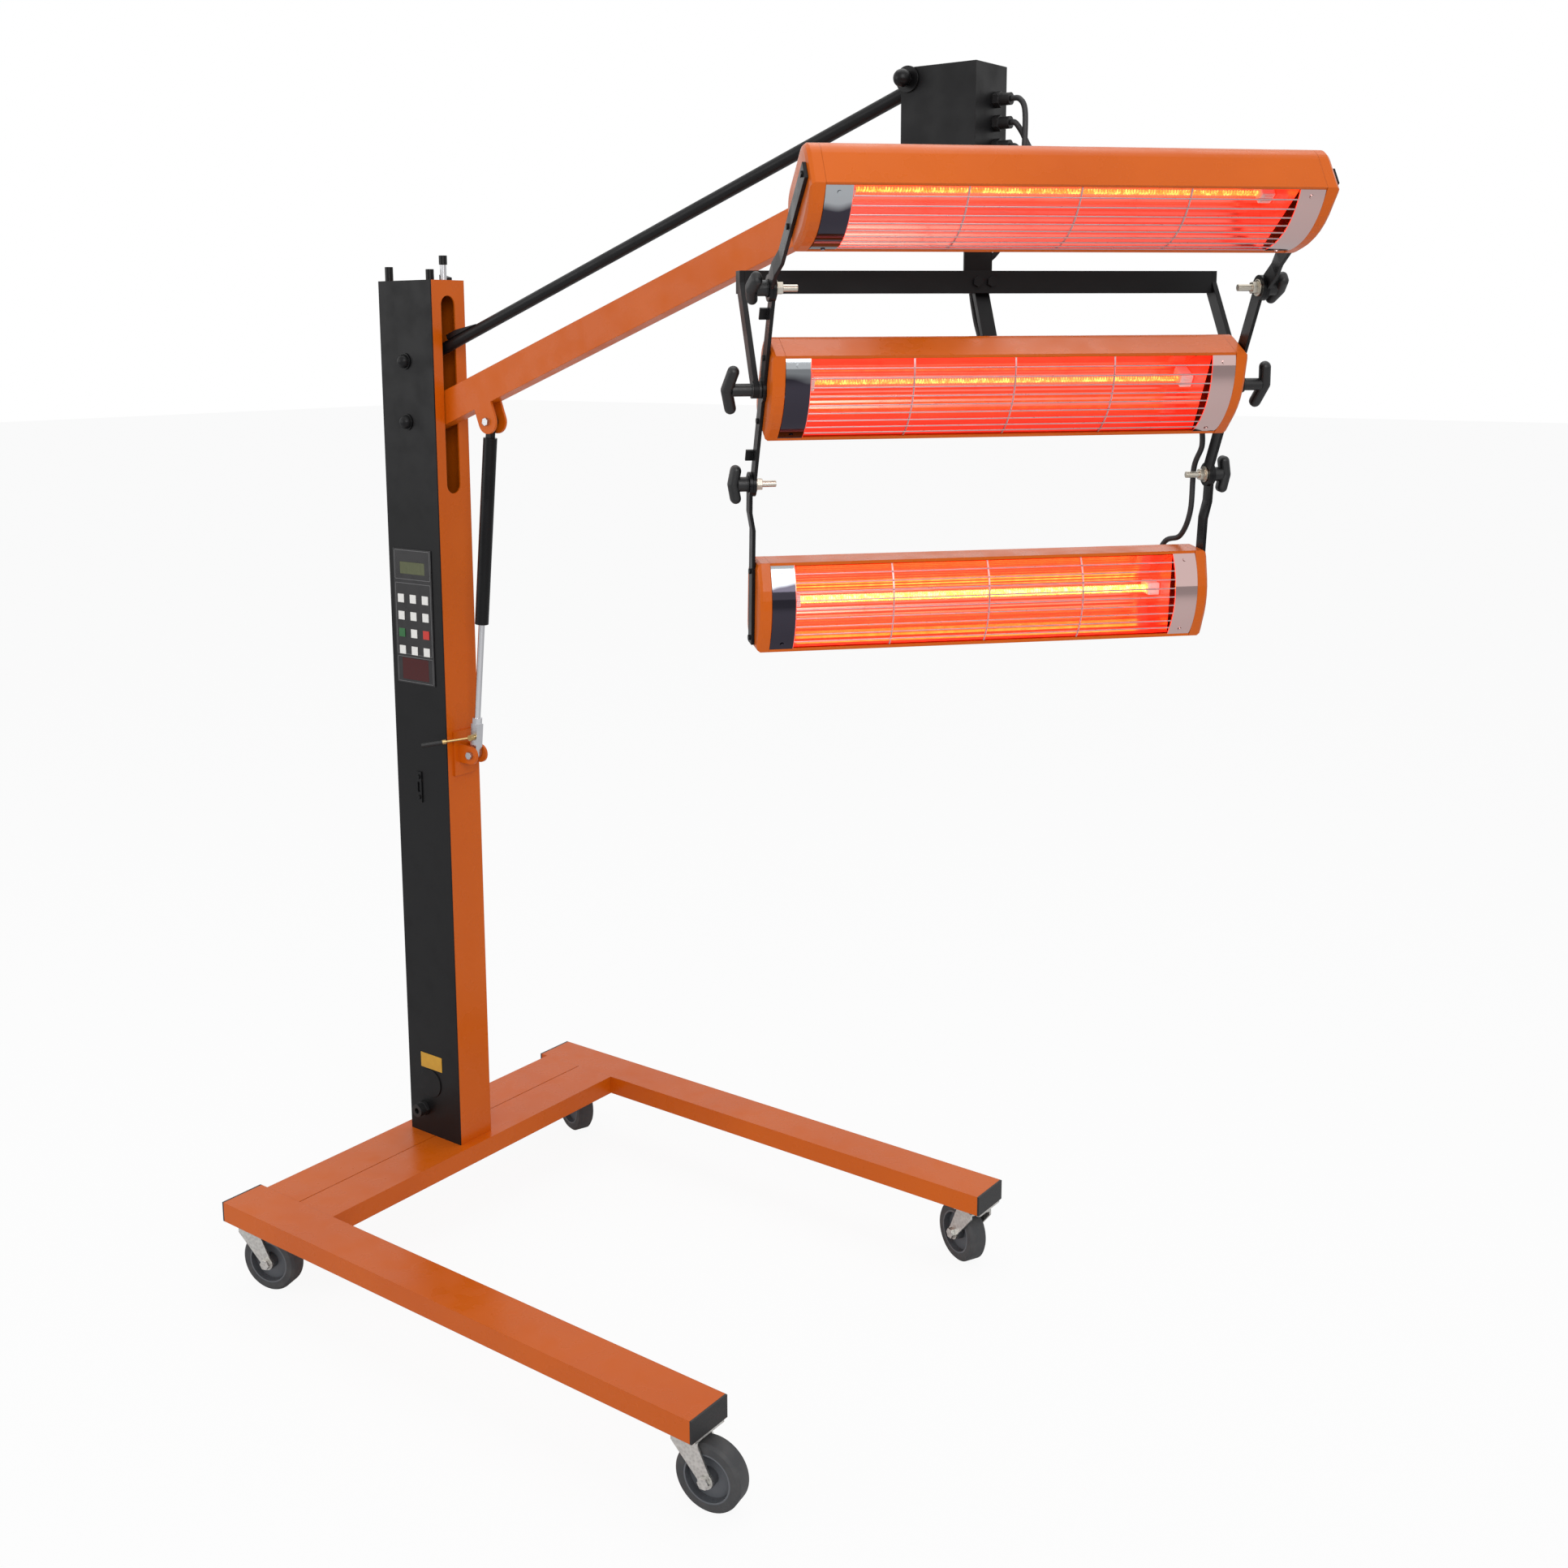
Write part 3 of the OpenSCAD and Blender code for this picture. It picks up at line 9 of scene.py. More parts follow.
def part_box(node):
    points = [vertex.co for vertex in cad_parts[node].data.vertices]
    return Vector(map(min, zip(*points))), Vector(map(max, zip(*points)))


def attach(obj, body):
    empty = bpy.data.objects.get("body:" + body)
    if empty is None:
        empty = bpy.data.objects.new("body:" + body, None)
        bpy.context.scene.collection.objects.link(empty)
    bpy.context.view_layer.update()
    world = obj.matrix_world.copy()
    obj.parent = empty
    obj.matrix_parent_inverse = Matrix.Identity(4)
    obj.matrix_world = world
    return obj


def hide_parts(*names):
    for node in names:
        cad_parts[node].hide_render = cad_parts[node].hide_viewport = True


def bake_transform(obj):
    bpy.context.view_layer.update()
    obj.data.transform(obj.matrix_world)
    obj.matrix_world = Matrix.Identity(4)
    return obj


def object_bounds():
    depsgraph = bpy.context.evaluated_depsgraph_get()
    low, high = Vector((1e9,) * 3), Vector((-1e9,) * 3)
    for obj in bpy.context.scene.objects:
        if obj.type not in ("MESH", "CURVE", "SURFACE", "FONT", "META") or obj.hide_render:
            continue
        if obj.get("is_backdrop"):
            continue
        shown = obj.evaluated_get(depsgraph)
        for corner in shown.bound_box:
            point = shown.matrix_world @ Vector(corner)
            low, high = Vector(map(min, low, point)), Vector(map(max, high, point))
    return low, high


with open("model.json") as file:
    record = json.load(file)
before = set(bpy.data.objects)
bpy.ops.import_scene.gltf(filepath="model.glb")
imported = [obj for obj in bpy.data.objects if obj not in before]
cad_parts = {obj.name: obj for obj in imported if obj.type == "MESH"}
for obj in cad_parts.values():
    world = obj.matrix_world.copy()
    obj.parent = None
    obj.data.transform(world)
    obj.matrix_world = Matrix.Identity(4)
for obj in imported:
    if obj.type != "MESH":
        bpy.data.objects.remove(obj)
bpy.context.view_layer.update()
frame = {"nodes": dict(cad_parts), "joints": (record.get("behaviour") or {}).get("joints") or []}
nodes = frame["nodes"]
MM = 0.001

# Driving places, as in the part: millimetres and degrees
MAST_TOP = 1581
MAST_FACE_Y = -36
ARM_PIVOT = Vector((-4, 0, 1359))
ARM_LENGTH = 998
ARM_ANGLE = math.radians(20.35)
POST_OUT = 76
YAW = math.radians(-42)
KNOB_AXIS = Vector((118, 0, -278))
MID_TILT = math.radians(28)
TOP_TILT = math.radians(27)
BOTTOM_TILT = math.radians(23)
HINGE_A = 130
LAMP_A = 150
QUARTZ_N = -16
QUARTZ_R = 6
MOUTH_HALF = 246
HOLDER_L = 16
END_GAP = 0.4
STUD = (46, 6)
STUD_SHANK_R = 5.5
STUD_SHANK_TOP = 24
EAR_FACE = 12.55
BRACKET_BOLT_X = 65
BAR_FACE = 292.1
TREAD_R = 34.2
HUB_R = 12.2
GRIP_START = 44

HEAD_PIVOT = ARM_PIVOT + Vector((ARM_LENGTH * math.cos(ARM_ANGLE), 0, ARM_LENGTH * math.sin(ARM_ANGLE)))
POST = HEAD_PIVOT + Vector((POST_OUT, 0, 0))


def in_metres(matrix):
    """The same placing with its lengths in metres."""
    result = matrix.copy()
    result.translation = matrix.translation * MM
    return result


# Frames of the yoke, the lamp set and the lamps, in millimetres
yoke_frame = Matrix.Translation(POST) @ Matrix.Rotation(YAW, 4, "Z")
set_frame = yoke_frame @ Matrix.Translation(KNOB_AXIS) @ Matrix.Rotation(MID_TILT, 4, "Y")
top_frame = (set_frame @ Matrix.Translation((0, 0, HINGE_A)) @ Matrix.Rotation(TOP_TILT, 4, "Y")
             @ Matrix.Translation((0, 0, LAMP_A)))
bottom_frame = (set_frame @ Matrix.Translation((0, 0, -HINGE_A)) @ Matrix.Rotation(-BOTTOM_TILT, 4, "Y")
                @ Matrix.Translation((0, 0, -LAMP_A)))
LAMPS = {
    "mid": (set_frame, "lamp_set"),
    "top": (top_frame, "top_lamp"),
    "bottom": (bottom_frame, "bottom_lamp"),
}


# Shader helpers

class Shader:
    """A node material with short calls for what this scene repeats."""

    def __init__(self, name):
        self.material = bpy.data.materials.new(name)
        self.material.use_nodes = True
        self.tree = self.material.node_tree
        self.bsdf = self.tree.nodes["Principled BSDF"]
        self.coords = self.add("ShaderNodeTexCoord").outputs["Object"]

    def add(self, kind, **settings):
        made = self.tree.nodes.new(kind)
        for key, value in settings.items():
            setattr(made, key, value)
        return made

    def link(self, source, target):
        self.tree.links.new(source, target)

    def set(self, **values):
        for key, value in values.items():
            self.bsdf.inputs[key.replace("_", " ")].default_value = value

    def feed(self, target, value):
        """Links a socket, or sets a plain value."""
        if isinstance(value, bpy.types.NodeSocket):
            self.link(value, target)
        elif isinstance(value, (tuple, list)) and len(value) == 3 and target.type == "RGBA":
            target.default_value = (*value, 1)
        else:
            target.default_value = value

    def math(self, operation, first, second=0.0):
        made = self.add("ShaderNodeMath", operation=operation)
        for place, value in enumerate((first, second)):
            self.feed(made.inputs[place], value)
        return made.outputs[0]

    def vector(self, operation, first, second=(0, 0, 0), output=0):
        made = self.add("ShaderNodeVectorMath", operation=operation)
        self.feed(made.inputs[0], first)
        self.feed(made.inputs[1], second)
        return made.outputs[output]

    def axis(self, direction, origin=(0, 0, 0)):
        """Distance along a direction from an origin, in metres."""
        shifted = self.vector("SUBTRACT", self.coords, tuple(origin))
        return self.vector("DOT_PRODUCT", shifted, tuple(direction), output=1)

    def radius(self, centre, direction):
        """Distance from a line, in metres."""
        shifted = self.vector("SUBTRACT", self.coords, tuple(centre))
        along = self.vector("CROSS_PRODUCT", shifted, tuple(direction))
        return self.vector("LENGTH", along, output=1)

    def above(self, value, edge, soft=0.0002):
        """0 below the edge and 1 above it."""
        made = self.add("ShaderNodeMapRange", clamp=True)
        self.feed(made.inputs["Value"], value)
        made.inputs["From Min"].default_value = edge - soft
        made.inputs["From Max"].default_value = edge + soft
        return made.outputs["Result"]

    def below(self, value, edge, soft=0.0002):
        """1 below the edge and 0 above it."""
        return self.math("SUBTRACT", 1.0, self.above(value, edge, soft))

    def between(self, value, low, high):
        return self.math("MULTIPLY", self.above(value, low), self.below(value, high))

    def noise(self, scale, detail=3.0, roughness=0.5, stretch=None):
        made = self.add("ShaderNodeTexNoise")
        made.inputs["Scale"].default_value = scale
        made.inputs["Detail"].default_value = detail
        made.inputs["Roughness"].default_value = roughness
        source = self.coords if stretch is None else self.vector("MULTIPLY", self.coords, tuple(stretch))
        self.link(source, made.inputs["Vector"])
        return made.outputs["Fac"]

    def remap(self, value, low, high, new_low, new_high):
        made = self.add("ShaderNodeMapRange", clamp=True)
        self.feed(made.inputs["Value"], value)
        for key, number in (("From Min", low), ("From Max", high), ("To Min", new_low), ("To Max", new_high)):
            made.inputs[key].default_value = number
        return made.outputs["Result"]

    def mix(self, factor, first, second):
        made = self.add("ShaderNodeMix", data_type="RGBA")
        self.feed(made.inputs["Factor"], factor)
        self.feed(made.inputs["A"], first)
        self.feed(made.inputs["B"], second)
        return made.outputs["Result"]

    def blend_value(self, factor, first, second):
        made = self.add("ShaderNodeMix", data_type="FLOAT")
        self.feed(made.inputs["Factor"], factor)
        self.feed(made.inputs["A"], first)
        self.feed(made.inputs["B"], second)
        return made.outputs["Result"]

    def bump(self, height, strength, distance, round_edges=0.0):
        """Fine relief, on edges that are a little rounded."""
        made = self.add("ShaderNodeBump")
        made.inputs["Strength"].default_value = strength
        made.inputs["Distance"].default_value = distance
        self.link(height, made.inputs["Height"])
        if round_edges:
            rounder = self.add("ShaderNodeBevel", samples=4)
            rounder.inputs["Radius"].default_value = round_edges
            self.link(rounder.outputs["Normal"], made.inputs["Normal"])
        self.link(made.outputs["Normal"], self.bsdf.inputs["Normal"])

    def use(self, **values):
        for key, value in values.items():
            self.feed(self.bsdf.inputs[key.replace("_", " ")], value)
        return self.material


ORANGE = (0.62, 0.115, 0.003)
DARK_ORANGE = (0.50, 0.078, 0.002)
BLACK = (0.0035, 0.0035, 0.004)
SOFT_BLACK = (0.007, 0.0068, 0.0075)
STEEL = (0.56, 0.57, 0.59)
CREAM = (0.80, 0.78, 0.72)


def paint(name, colour, dark, gloss=0.30, speck=0.00012):
    """Powder coat: fine orange peel, slight unevenness and darker rubbed patches."""
    shader = Shader(name)
    cloud = shader.noise(3.5, 4)
    tint = shader.mix(shader.remap(cloud, 0.35, 0.75, 0, 0.55), colour, dark)
    peel = shader.noise(900, 2)
    shader.bump(peel, 0.16, speck, 0.0009)
    shader.set(Specular_IOR_Level=0.22)
    rub = shader.remap(shader.noise(26, 5), 0.4, 0.75, gloss - 0.05, gloss + 0.14)
    return shader, tint, rub


def metal_over(shader, mask, tint, rub):
    """Bare steel where the mask is 1, over a paint."""
    scratch = shader.noise(300, 3, stretch=(1, 1, 6))
    steel = shader.mix(scratch, (0.42, 0.42, 0.43), STEEL)
    return dict(
        Base_Color=shader.mix(mask, tint, steel),
        Metallic=mask,
        Roughness=shader.blend_value(mask, rub, 0.34))


def orange_paint():
    shader, tint, rub = paint("orange_paint", ORANGE, DARK_ORANGE)
    shader.set(Coat_Weight=0.06, Coat_Roughness=0.2)
    return shader.use(Base_Color=tint, Roughness=rub)


def arm_paint():
    """Orange, with the steel bolt heads outside the ears."""
    shader, tint, rub = paint("arm_paint", ORANGE, DARK_ORANGE)
    outside = shader.above(shader.math("ABSOLUTE", shader.axis((0, 1, 0))), EAR_FACE * MM, 0.00003)
    return shader.use(**metal_over(shader, outside, tint, rub))


def black_paint(name="black_paint", gloss=0.42):
    shader, tint, rub = paint(name, BLACK, SOFT_BLACK, gloss)
    return shader.use(Base_Color=tint, Roughness=rub)


def mast_bolt_paint():
    """Black pivot bolts, and the bare steel bolt of the spring bracket."""
    shader, tint, rub = paint("mast_bolt_paint", BLACK, SOFT_BLACK, 0.35)
    bracket_bolt = shader.above(shader.axis((1, 0, 0)), BRACKET_BOLT_X * MM)
    return shader.use(**metal_over(shader, bracket_bolt, tint, rub))


def top_plate_paint():
    """Orange plate, black stud caps and one bare stud shank."""
    shader, tint, rub = paint("top_plate_paint", ORANGE, DARK_ORANGE)
    height = shader.axis((0, 0, 1))
    fittings = shader.above(height, (MAST_TOP + 0.1) * MM, 0.00005)
    from_stud = shader.radius((STUD[0] * MM, STUD[1] * MM, 0), (0, 0, 1))
    shank = shader.math("MULTIPLY", fittings, shader.below(from_stud, STUD_SHANK_R * MM))
    shank = shader.math("MULTIPLY", shank, shader.below(height, (MAST_TOP + STUD_SHANK_TOP) * MM))
    return shader.use(**metal_over(shader, shank, shader.mix(fittings, tint, BLACK), rub))


def knob_plastic():
    """Black moulded knobs whose bolt and nut are bright inside the bars."""
    shader = Shader("knob_plastic")
    across = shader.math("ABSOLUTE", shader.axis(lateral, POST * MM))
    inside = shader.below(across, BAR_FACE * MM, 0.00005)
    grain = shader.noise(700, 2)
    shader.bump(grain, 0.25, 0.0001, 0.0012)
    brass = shader.mix(shader.noise(60, 2), (0.50, 0.44, 0.33), (0.62, 0.60, 0.56))
    return shader.use(
        Base_Color=shader.mix(inside, shader.mix(shader.noise(9, 3), BLACK, SOFT_BLACK), brass),
        Metallic=inside,
        Roughness=shader.blend_value(inside, shader.remap(grain, 0.3, 0.7, 0.38, 0.52), 0.3))


def plastic(name, colour, light, rough=0.5):
    shader = Shader(name)
    grain = shader.noise(850, 2)
    shader.bump(grain, 0.3, 0.0001, 0.0006)
    return shader.use(
        Base_Color=shader.mix(shader.noise(11, 3), colour, light),
        Roughness=shader.remap(grain, 0.3, 0.7, rough - 0.06, rough + 0.08))


def zinc():
    """Pressed steel with the dull spangle of its plating."""
    shader = Shader("zinc")
    cells = shader.add("ShaderNodeTexVoronoi")
    cells.inputs["Scale"].default_value = 240
    shader.link(shader.coords, cells.inputs["Vector"])
    shade = shader.remap(cells.outputs["Distance"], 0, 0.8, 0, 1)
    shader.bump(shader.noise(320, 3), 0.2, 0.0001, 0.0006)
    shader.set(Metallic=1.0)
    return shader.use(
        Base_Color=shader.mix(shade, (0.46, 0.45, 0.43), (0.66, 0.65, 0.62)),
        Roughness=shader.remap(shade, 0, 1, 0.30, 0.46))


def wheel_rubber(centre, direction, name):
    """Grey tread, a lighter disc with a dark hub ring, and dust on the tread."""
    shader = Shader(name)
    out = shader.radius(centre, direction)
    tread = shader.above(out, TREAD_R * MM, 0.0004)
    hub = shader.below(out, HUB_R * MM, 0.0003)
    ring = shader.between(out, 30.5 * MM, 32 * MM)
    dust = shader.noise(55, 4)
    disc = shader.mix(hub, (0.105, 0.112, 0.124), (0.045, 0.046, 0.05))
    disc = shader.mix(shader.math("MULTIPLY", ring, 0.6), disc, (0.02, 0.02, 0.022))
    rubber = shader.mix(shader.remap(dust, 0.35, 0.75, 0, 0.5), (0.040, 0.041, 0.044), (0.085, 0.083, 0.08))
    shader.bump(shader.noise(420, 3), 0.3, 0.00015, 0.0008)
    return shader.use(
        Base_Color=shader.mix(tread, disc, rubber),
        Roughness=shader.blend_value(tread, 0.48, 0.66))


def bright_metal(name, colour, rough, stretch=(1, 1, 1)):
    shader = Shader(name)
    scratch = shader.noise(260, 4, stretch=stretch)
    shader.bump(scratch, 0.08, 0.00005)
    shader.set(Metallic=1.0)
    return shader.use(
        Base_Color=colour,
        Roughness=shader.remap(scratch, 0.3, 0.7, rough - 0.04, rough + 0.06))


def lever_metal():
    """Brass wire with a dipped black grip."""
    shader = Shader("lever_metal")
    start = Vector((93.2, -15.4, 849.8)) * MM
    tip = Vector((37, -77.8, 833)) * MM
    along = (tip - start).normalized()
    grip = shader.above(shader.axis(along, start), GRIP_START * MM)
    return shader.use(
        Base_Color=shader.mix(grip, (0.48, 0.33, 0.14), BLACK),
        Metallic=shader.math("SUBTRACT", 1.0, grip),
        Roughness=shader.blend_value(grip, 0.32, 0.5))


def reflector_with_painted_glow(lamp, glow):
    """Polished trough with a painted red glow and a red tint that paints the tube's reflected light, and end
    strips coloured with painted reflections.
    """
    placing = in_metres(LAMPS[lamp][0])
    shader = Shader(lamp + "_reflector_with_painted_glow")
    length = placing.to_3x3().col[1]
    chord = placing.to_3x3().col[2]
    across = shader.math("ABSOLUTE", shader.axis(length, placing.translation))
    trough = shader.below(across, (MOUTH_HALF + 0.6) * MM)
    height = shader.axis(chord, placing.translation)
    deep = shader.axis(placing.to_3x3().col[0], placing.translation)
    # Painted glow on the trough: emission strongest near the chord and towards the back, in uneven bands.
    bands = shader.noise(70, 4, stretch=(0.3, 0.3, 3.0))
    near = shader.remap(shader.math("ABSOLUTE", height), 0.0, 0.05, 1.0, 0.35)
    back = shader.remap(deep, -40 * MM, 24 * MM, 1.0, 0.45)
    banded = shader.remap(bands, 0.3, 0.7, 0.6, 1.2)
    strength = shader.math("MULTIPLY", shader.math("MULTIPLY", near, back), banded)
    strength = shader.math("MULTIPLY", strength, shader.math("MULTIPLY", trough, glow))
    # Painted reflections on the end strips: dark below a wavy line and grey above on the left, pink on the
    # right.
    left = shader.below(shader.axis(length, placing.translation), 0.0)
    strip_height = shader.math("ADD", height, shader.math("MULTIPLY", shader.noise(14, 2), 0.03))
    left_strip_painted_reflection = shader.mix(shader.above(strip_height, 0.046, 0.004), (0.05, 0.045, 0.06), (0.42, 0.44, 0.46))
    strip = shader.mix(left, (0.62, 0.44, 0.42), left_strip_painted_reflection)
    shader.set(Metallic=1.0)
    # The trough's red base colour and its emission are painted glow; the strips take their painted
    # reflections.
    return shader.use(
        Base_Color=shader.mix(trough, strip, (1.0, 0.24, 0.19)),
        Roughness=shader.blend_value(trough, 0.06, 0.2),
        Emission_Color=(1.0, 0.035, 0.012),
        Emission_Strength=strength)


def glow_metal(name, colour, spots, strength):
    """Glowing wire, brighter where its turns bunch."""
    shader = Shader(name)
    beads = shader.noise(160, 2)
    return shader.use(
        Base_Color=(0.3, 0.05, 0.02),
        Emission_Color=shader.mix(shader.remap(beads, 0.42, 0.62, 0, 1), colour, spots),
        Emission_Strength=shader.remap(beads, 0.3, 0.7, strength * 0.75, strength * 1.3))


def quartz_glass(name, tint):
    """Clear quartz that the wire's light fills, kept thin so that it stays clear."""
    shader = Shader(name)
    shader.set(IOR=1.46, Alpha=0.28)
    return shader.use(
        Base_Color=tint,
        Roughness=shader.remap(shader.noise(40, 2), 0.3, 0.7, 0.05, 0.10),
        Emission_Color=(1.0, 0.10, 0.03),
        Emission_Strength=0.9)


def ceramic():
    shader = Shader("ceramic")
    grain = shader.noise(380, 3)
    shader.bump(grain, 0.3, 0.0001, 0.0006)
    return shader.use(
        Base_Color=shader.mix(shader.noise(30, 3), (0.86, 0.80, 0.76), (0.72, 0.64, 0.60)),
        Roughness=0.62)


def keypad_face():
    """Black membrane with raised pads: pale ones, and one green and one red in the third row."""
    shader = Shader("keypad_face")
    proud = shader.below(shader.axis((0, 1, 0)), (MAST_FACE_Y - 1.9) * MM, 0.00005)
    across = shader.axis((1, 0, 0))
    height = shader.axis((0, 0, 1))
    row = shader.between(height, 1004 * MM, 1029 * MM)
    green = shader.math("MULTIPLY", row, shader.below(across, -20 * MM))
    red = shader.math("MULTIPLY", row, shader.above(across, 12 * MM))
    pad = shader.mix(green, (0.80, 0.79, 0.76), (0.02, 0.13, 0.035))
    pad = shader.mix(red, pad, (0.55, 0.03, 0.02))
    shader.bump(shader.noise(900, 2), 0.15, 0.00008, 0.0005)
    return shader.use(
        Base_Color=shader.mix(proud, (0.012, 0.011, 0.012), pad),
        Roughness=shader.remap(shader.noise(60, 3), 0.3, 0.7, 0.26, 0.38))


def window_face():
    """Grey-green display above and the dark red window below."""
    shader = Shader("window_face")
    upper = shader.above(shader.axis((0, 0, 1)), 1050 * MM)
    segments = shader.noise(55, 1, stretch=(4, 1, 1))
    display = shader.mix(segments, (0.085, 0.095, 0.045), (0.12, 0.13, 0.065))
    return shader.use(
        Base_Color=shader.mix(upper, (0.060, 0.004, 0.004), display),
        Roughness=0.16)


def board_face():
    shader = Shader("board_face")
    tracks = shader.add("ShaderNodeTexBrick")
    tracks.inputs["Scale"].default_value = 160
    shader.link(shader.coords, tracks.inputs["Vector"])
    return shader.use(
        Base_Color=shader.mix(tracks.outputs["Fac"], (0.012, 0.10, 0.04), (0.02, 0.16, 0.07)),
        Roughness=0.4)


def plain_yellow():
    shader = Shader("plain_yellow")
    return shader.use(
        Base_Color=shader.mix(shader.noise(90, 3), (0.66, 0.36, 0.012), (0.52, 0.27, 0.012)),
        Roughness=0.4)


lateral = tuple((yoke_frame.to_3x3().col[1]).normalized())
ORANGE_PAINT = orange_paint()
BLACK_PAINT = black_paint()
PLASTIC = plastic("black_plastic", BLACK, SOFT_BLACK)
KNOB = knob_plastic()
ZINC = zinc()
CABLE = plastic("cable_rubber", (0.007, 0.007, 0.008), (0.02, 0.02, 0.022), 0.55)
CHROME = bright_metal("rod_chrome", (0.62, 0.62, 0.64), 0.2, (1, 1, 0.1))
WIRE = bright_metal("guard_wire", (0.52, 0.36, 0.36), 0.30)
CERAMIC = ceramic()


def give(material, *names):
    for name in names:
        data = nodes[name].data
        data.materials.clear()
        data.materials.append(material)


give(ORANGE_PAINT, "near_leg", "far_leg", "cross_tubes", "mast_channel", "spring_bracket",
     "mid_housing", "top_housing", "bottom_housing")
give(arm_paint(), "arm_beam")
give(BLACK_PAINT, "mast_cover", "upper_link", "head_box", "yoke_post", "yoke_crossbar", "yoke_left_arm",
     "yoke_right_arm")
give(black_paint("bar_paint", 0.30), "side_bars", "top_hangers", "bottom_hangers")
give(black_paint("cylinder_paint", 0.30), "spring_cylinder", "head_bolts")
give(mast_bolt_paint(), "mast_bolts")
give(top_plate_paint(), "mast_top_plate")
give(PLASTIC, "leg_end_caps", "mains_gland", "head_glands")
give(KNOB, "left_tee_knob", "right_tee_knob", "top_left_knob", "top_right_knob", "bottom_left_knob",
     "bottom_right_knob")
give(ZINC, "caster_plates", "near_front_fork", "far_front_fork", "near_rear_fork", "far_rear_fork")
give(CHROME, "spring_rod")
give(lever_metal(), "release_lever")
give(WIRE, "mid_guard", "top_guard", "bottom_guard")
give(keypad_face(), "keypad")
give(window_face(), "panel_windows")
give(board_face(), "control_board")
for corner in ("near_front", "far_front", "near_rear", "far_rear"):
    name = corner + "_wheel"
    low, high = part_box(name)
    spin = next(j for j in frame["joints"] if j["name"] == corner + "_roll")
    give(wheel_rubber((low + high) / 2, spin["axis"], corner + "_rubber"), name)
# Strength of the painted red glow on each lamp's reflector.
for lamp, glow in (("top", 1.2), ("mid", 1.3), ("bottom", 1.7)):
    give(reflector_with_painted_glow(lamp, glow), lamp + "_reflector")


# Mesh helpers

def piece(name, bm, material, body, placing=None, smooth=True):
    """A new object from a bmesh drawn in millimetres, placed and riding on its body."""
    data = bpy.data.meshes.new(name)
    bmesh.ops.scale(bm, vec=(MM, MM, MM), verts=bm.verts)
    if placing is not None:
        bmesh.ops.transform(bm, matrix=in_metres(placing), verts=bm.verts)
    bmesh.ops.recalc_face_normals(bm, faces=bm.faces)
    bm.to_mesh(data)
    bm.free()
    made = bpy.data.objects.new(name, data)
    bpy.context.scene.collection.objects.link(made)
    data.materials.append(material)
    if smooth:
        for face in data.polygons:
            face.use_smooth = True
    if body:
        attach(made, body)
    return made


def tube_along(bm, points, radius, sides):
    """Sweeps a round section along points without twist, and closes its ends."""
    points = [Vector(p) for p in points]
    rings = []
    side = None
    for i, point in enumerate(points):
        heading = (points[min(i + 1, len(points) - 1)] - points[max(i - 1, 0)]).normalized()
        if side is None:
            side = heading.orthogonal().normalized()
        side = (side - heading * side.dot(heading)).normalized()
        other = heading.cross(side)
        turn = 2 * math.pi / sides
        rings.append([bm.verts.new(point + radius * (side * math.cos(k * turn) + other * math.sin(k * turn)))
                      for k in range(sides)])
    for first, second in zip(rings, rings[1:]):
        for k in range(sides):
            bm.faces.new((first[k], first[(k + 1) % sides], second[(k + 1) % sides], second[k]))
    bm.faces.new(rings[0])
    bm.faces.new(list(reversed(rings[-1])))


def curve_points(route, steps):
    """Smooth curve through a route, as the part draws it."""
    p = [Vector(q) for q in route]
    out = []
    for i in range(len(p) - 1):
        a, b, c, d = p[max(i - 1, 0)], p[i], p[i + 1], p[min(i + 2, len(p) - 1)]
        for s in range(steps):
            t = s / steps
            out.append(0.5 * (2 * b + (c - a) * t + (2 * a - 5 * b + 4 * c - d) * t * t
                              + (3 * b - a - 3 * c + d) * t ** 3))
    out.append(p[-1])
    return out


def rounded_box(bm, low, high, bevel, segments=3):
    """A box with rounded edges, added to bm."""
    made = bmesh.ops.create_cube(bm, size=1)
    verts = made["verts"]
    size = Vector(high) - Vector(low)
    bmesh.ops.scale(bm, vec=size, verts=verts)
    bmesh.ops.translate(bm, vec=(Vector(high) + Vector(low)) / 2, verts=verts)
    edges = list({e for v in verts for e in v.link_edges})
    bmesh.ops.bevel(bm, geom=edges, offset=bevel, segments=segments, affect="EDGES", profile=0.5)


# Heaters: a coiled wire in a quartz tube, held in slotted ceramic blocks

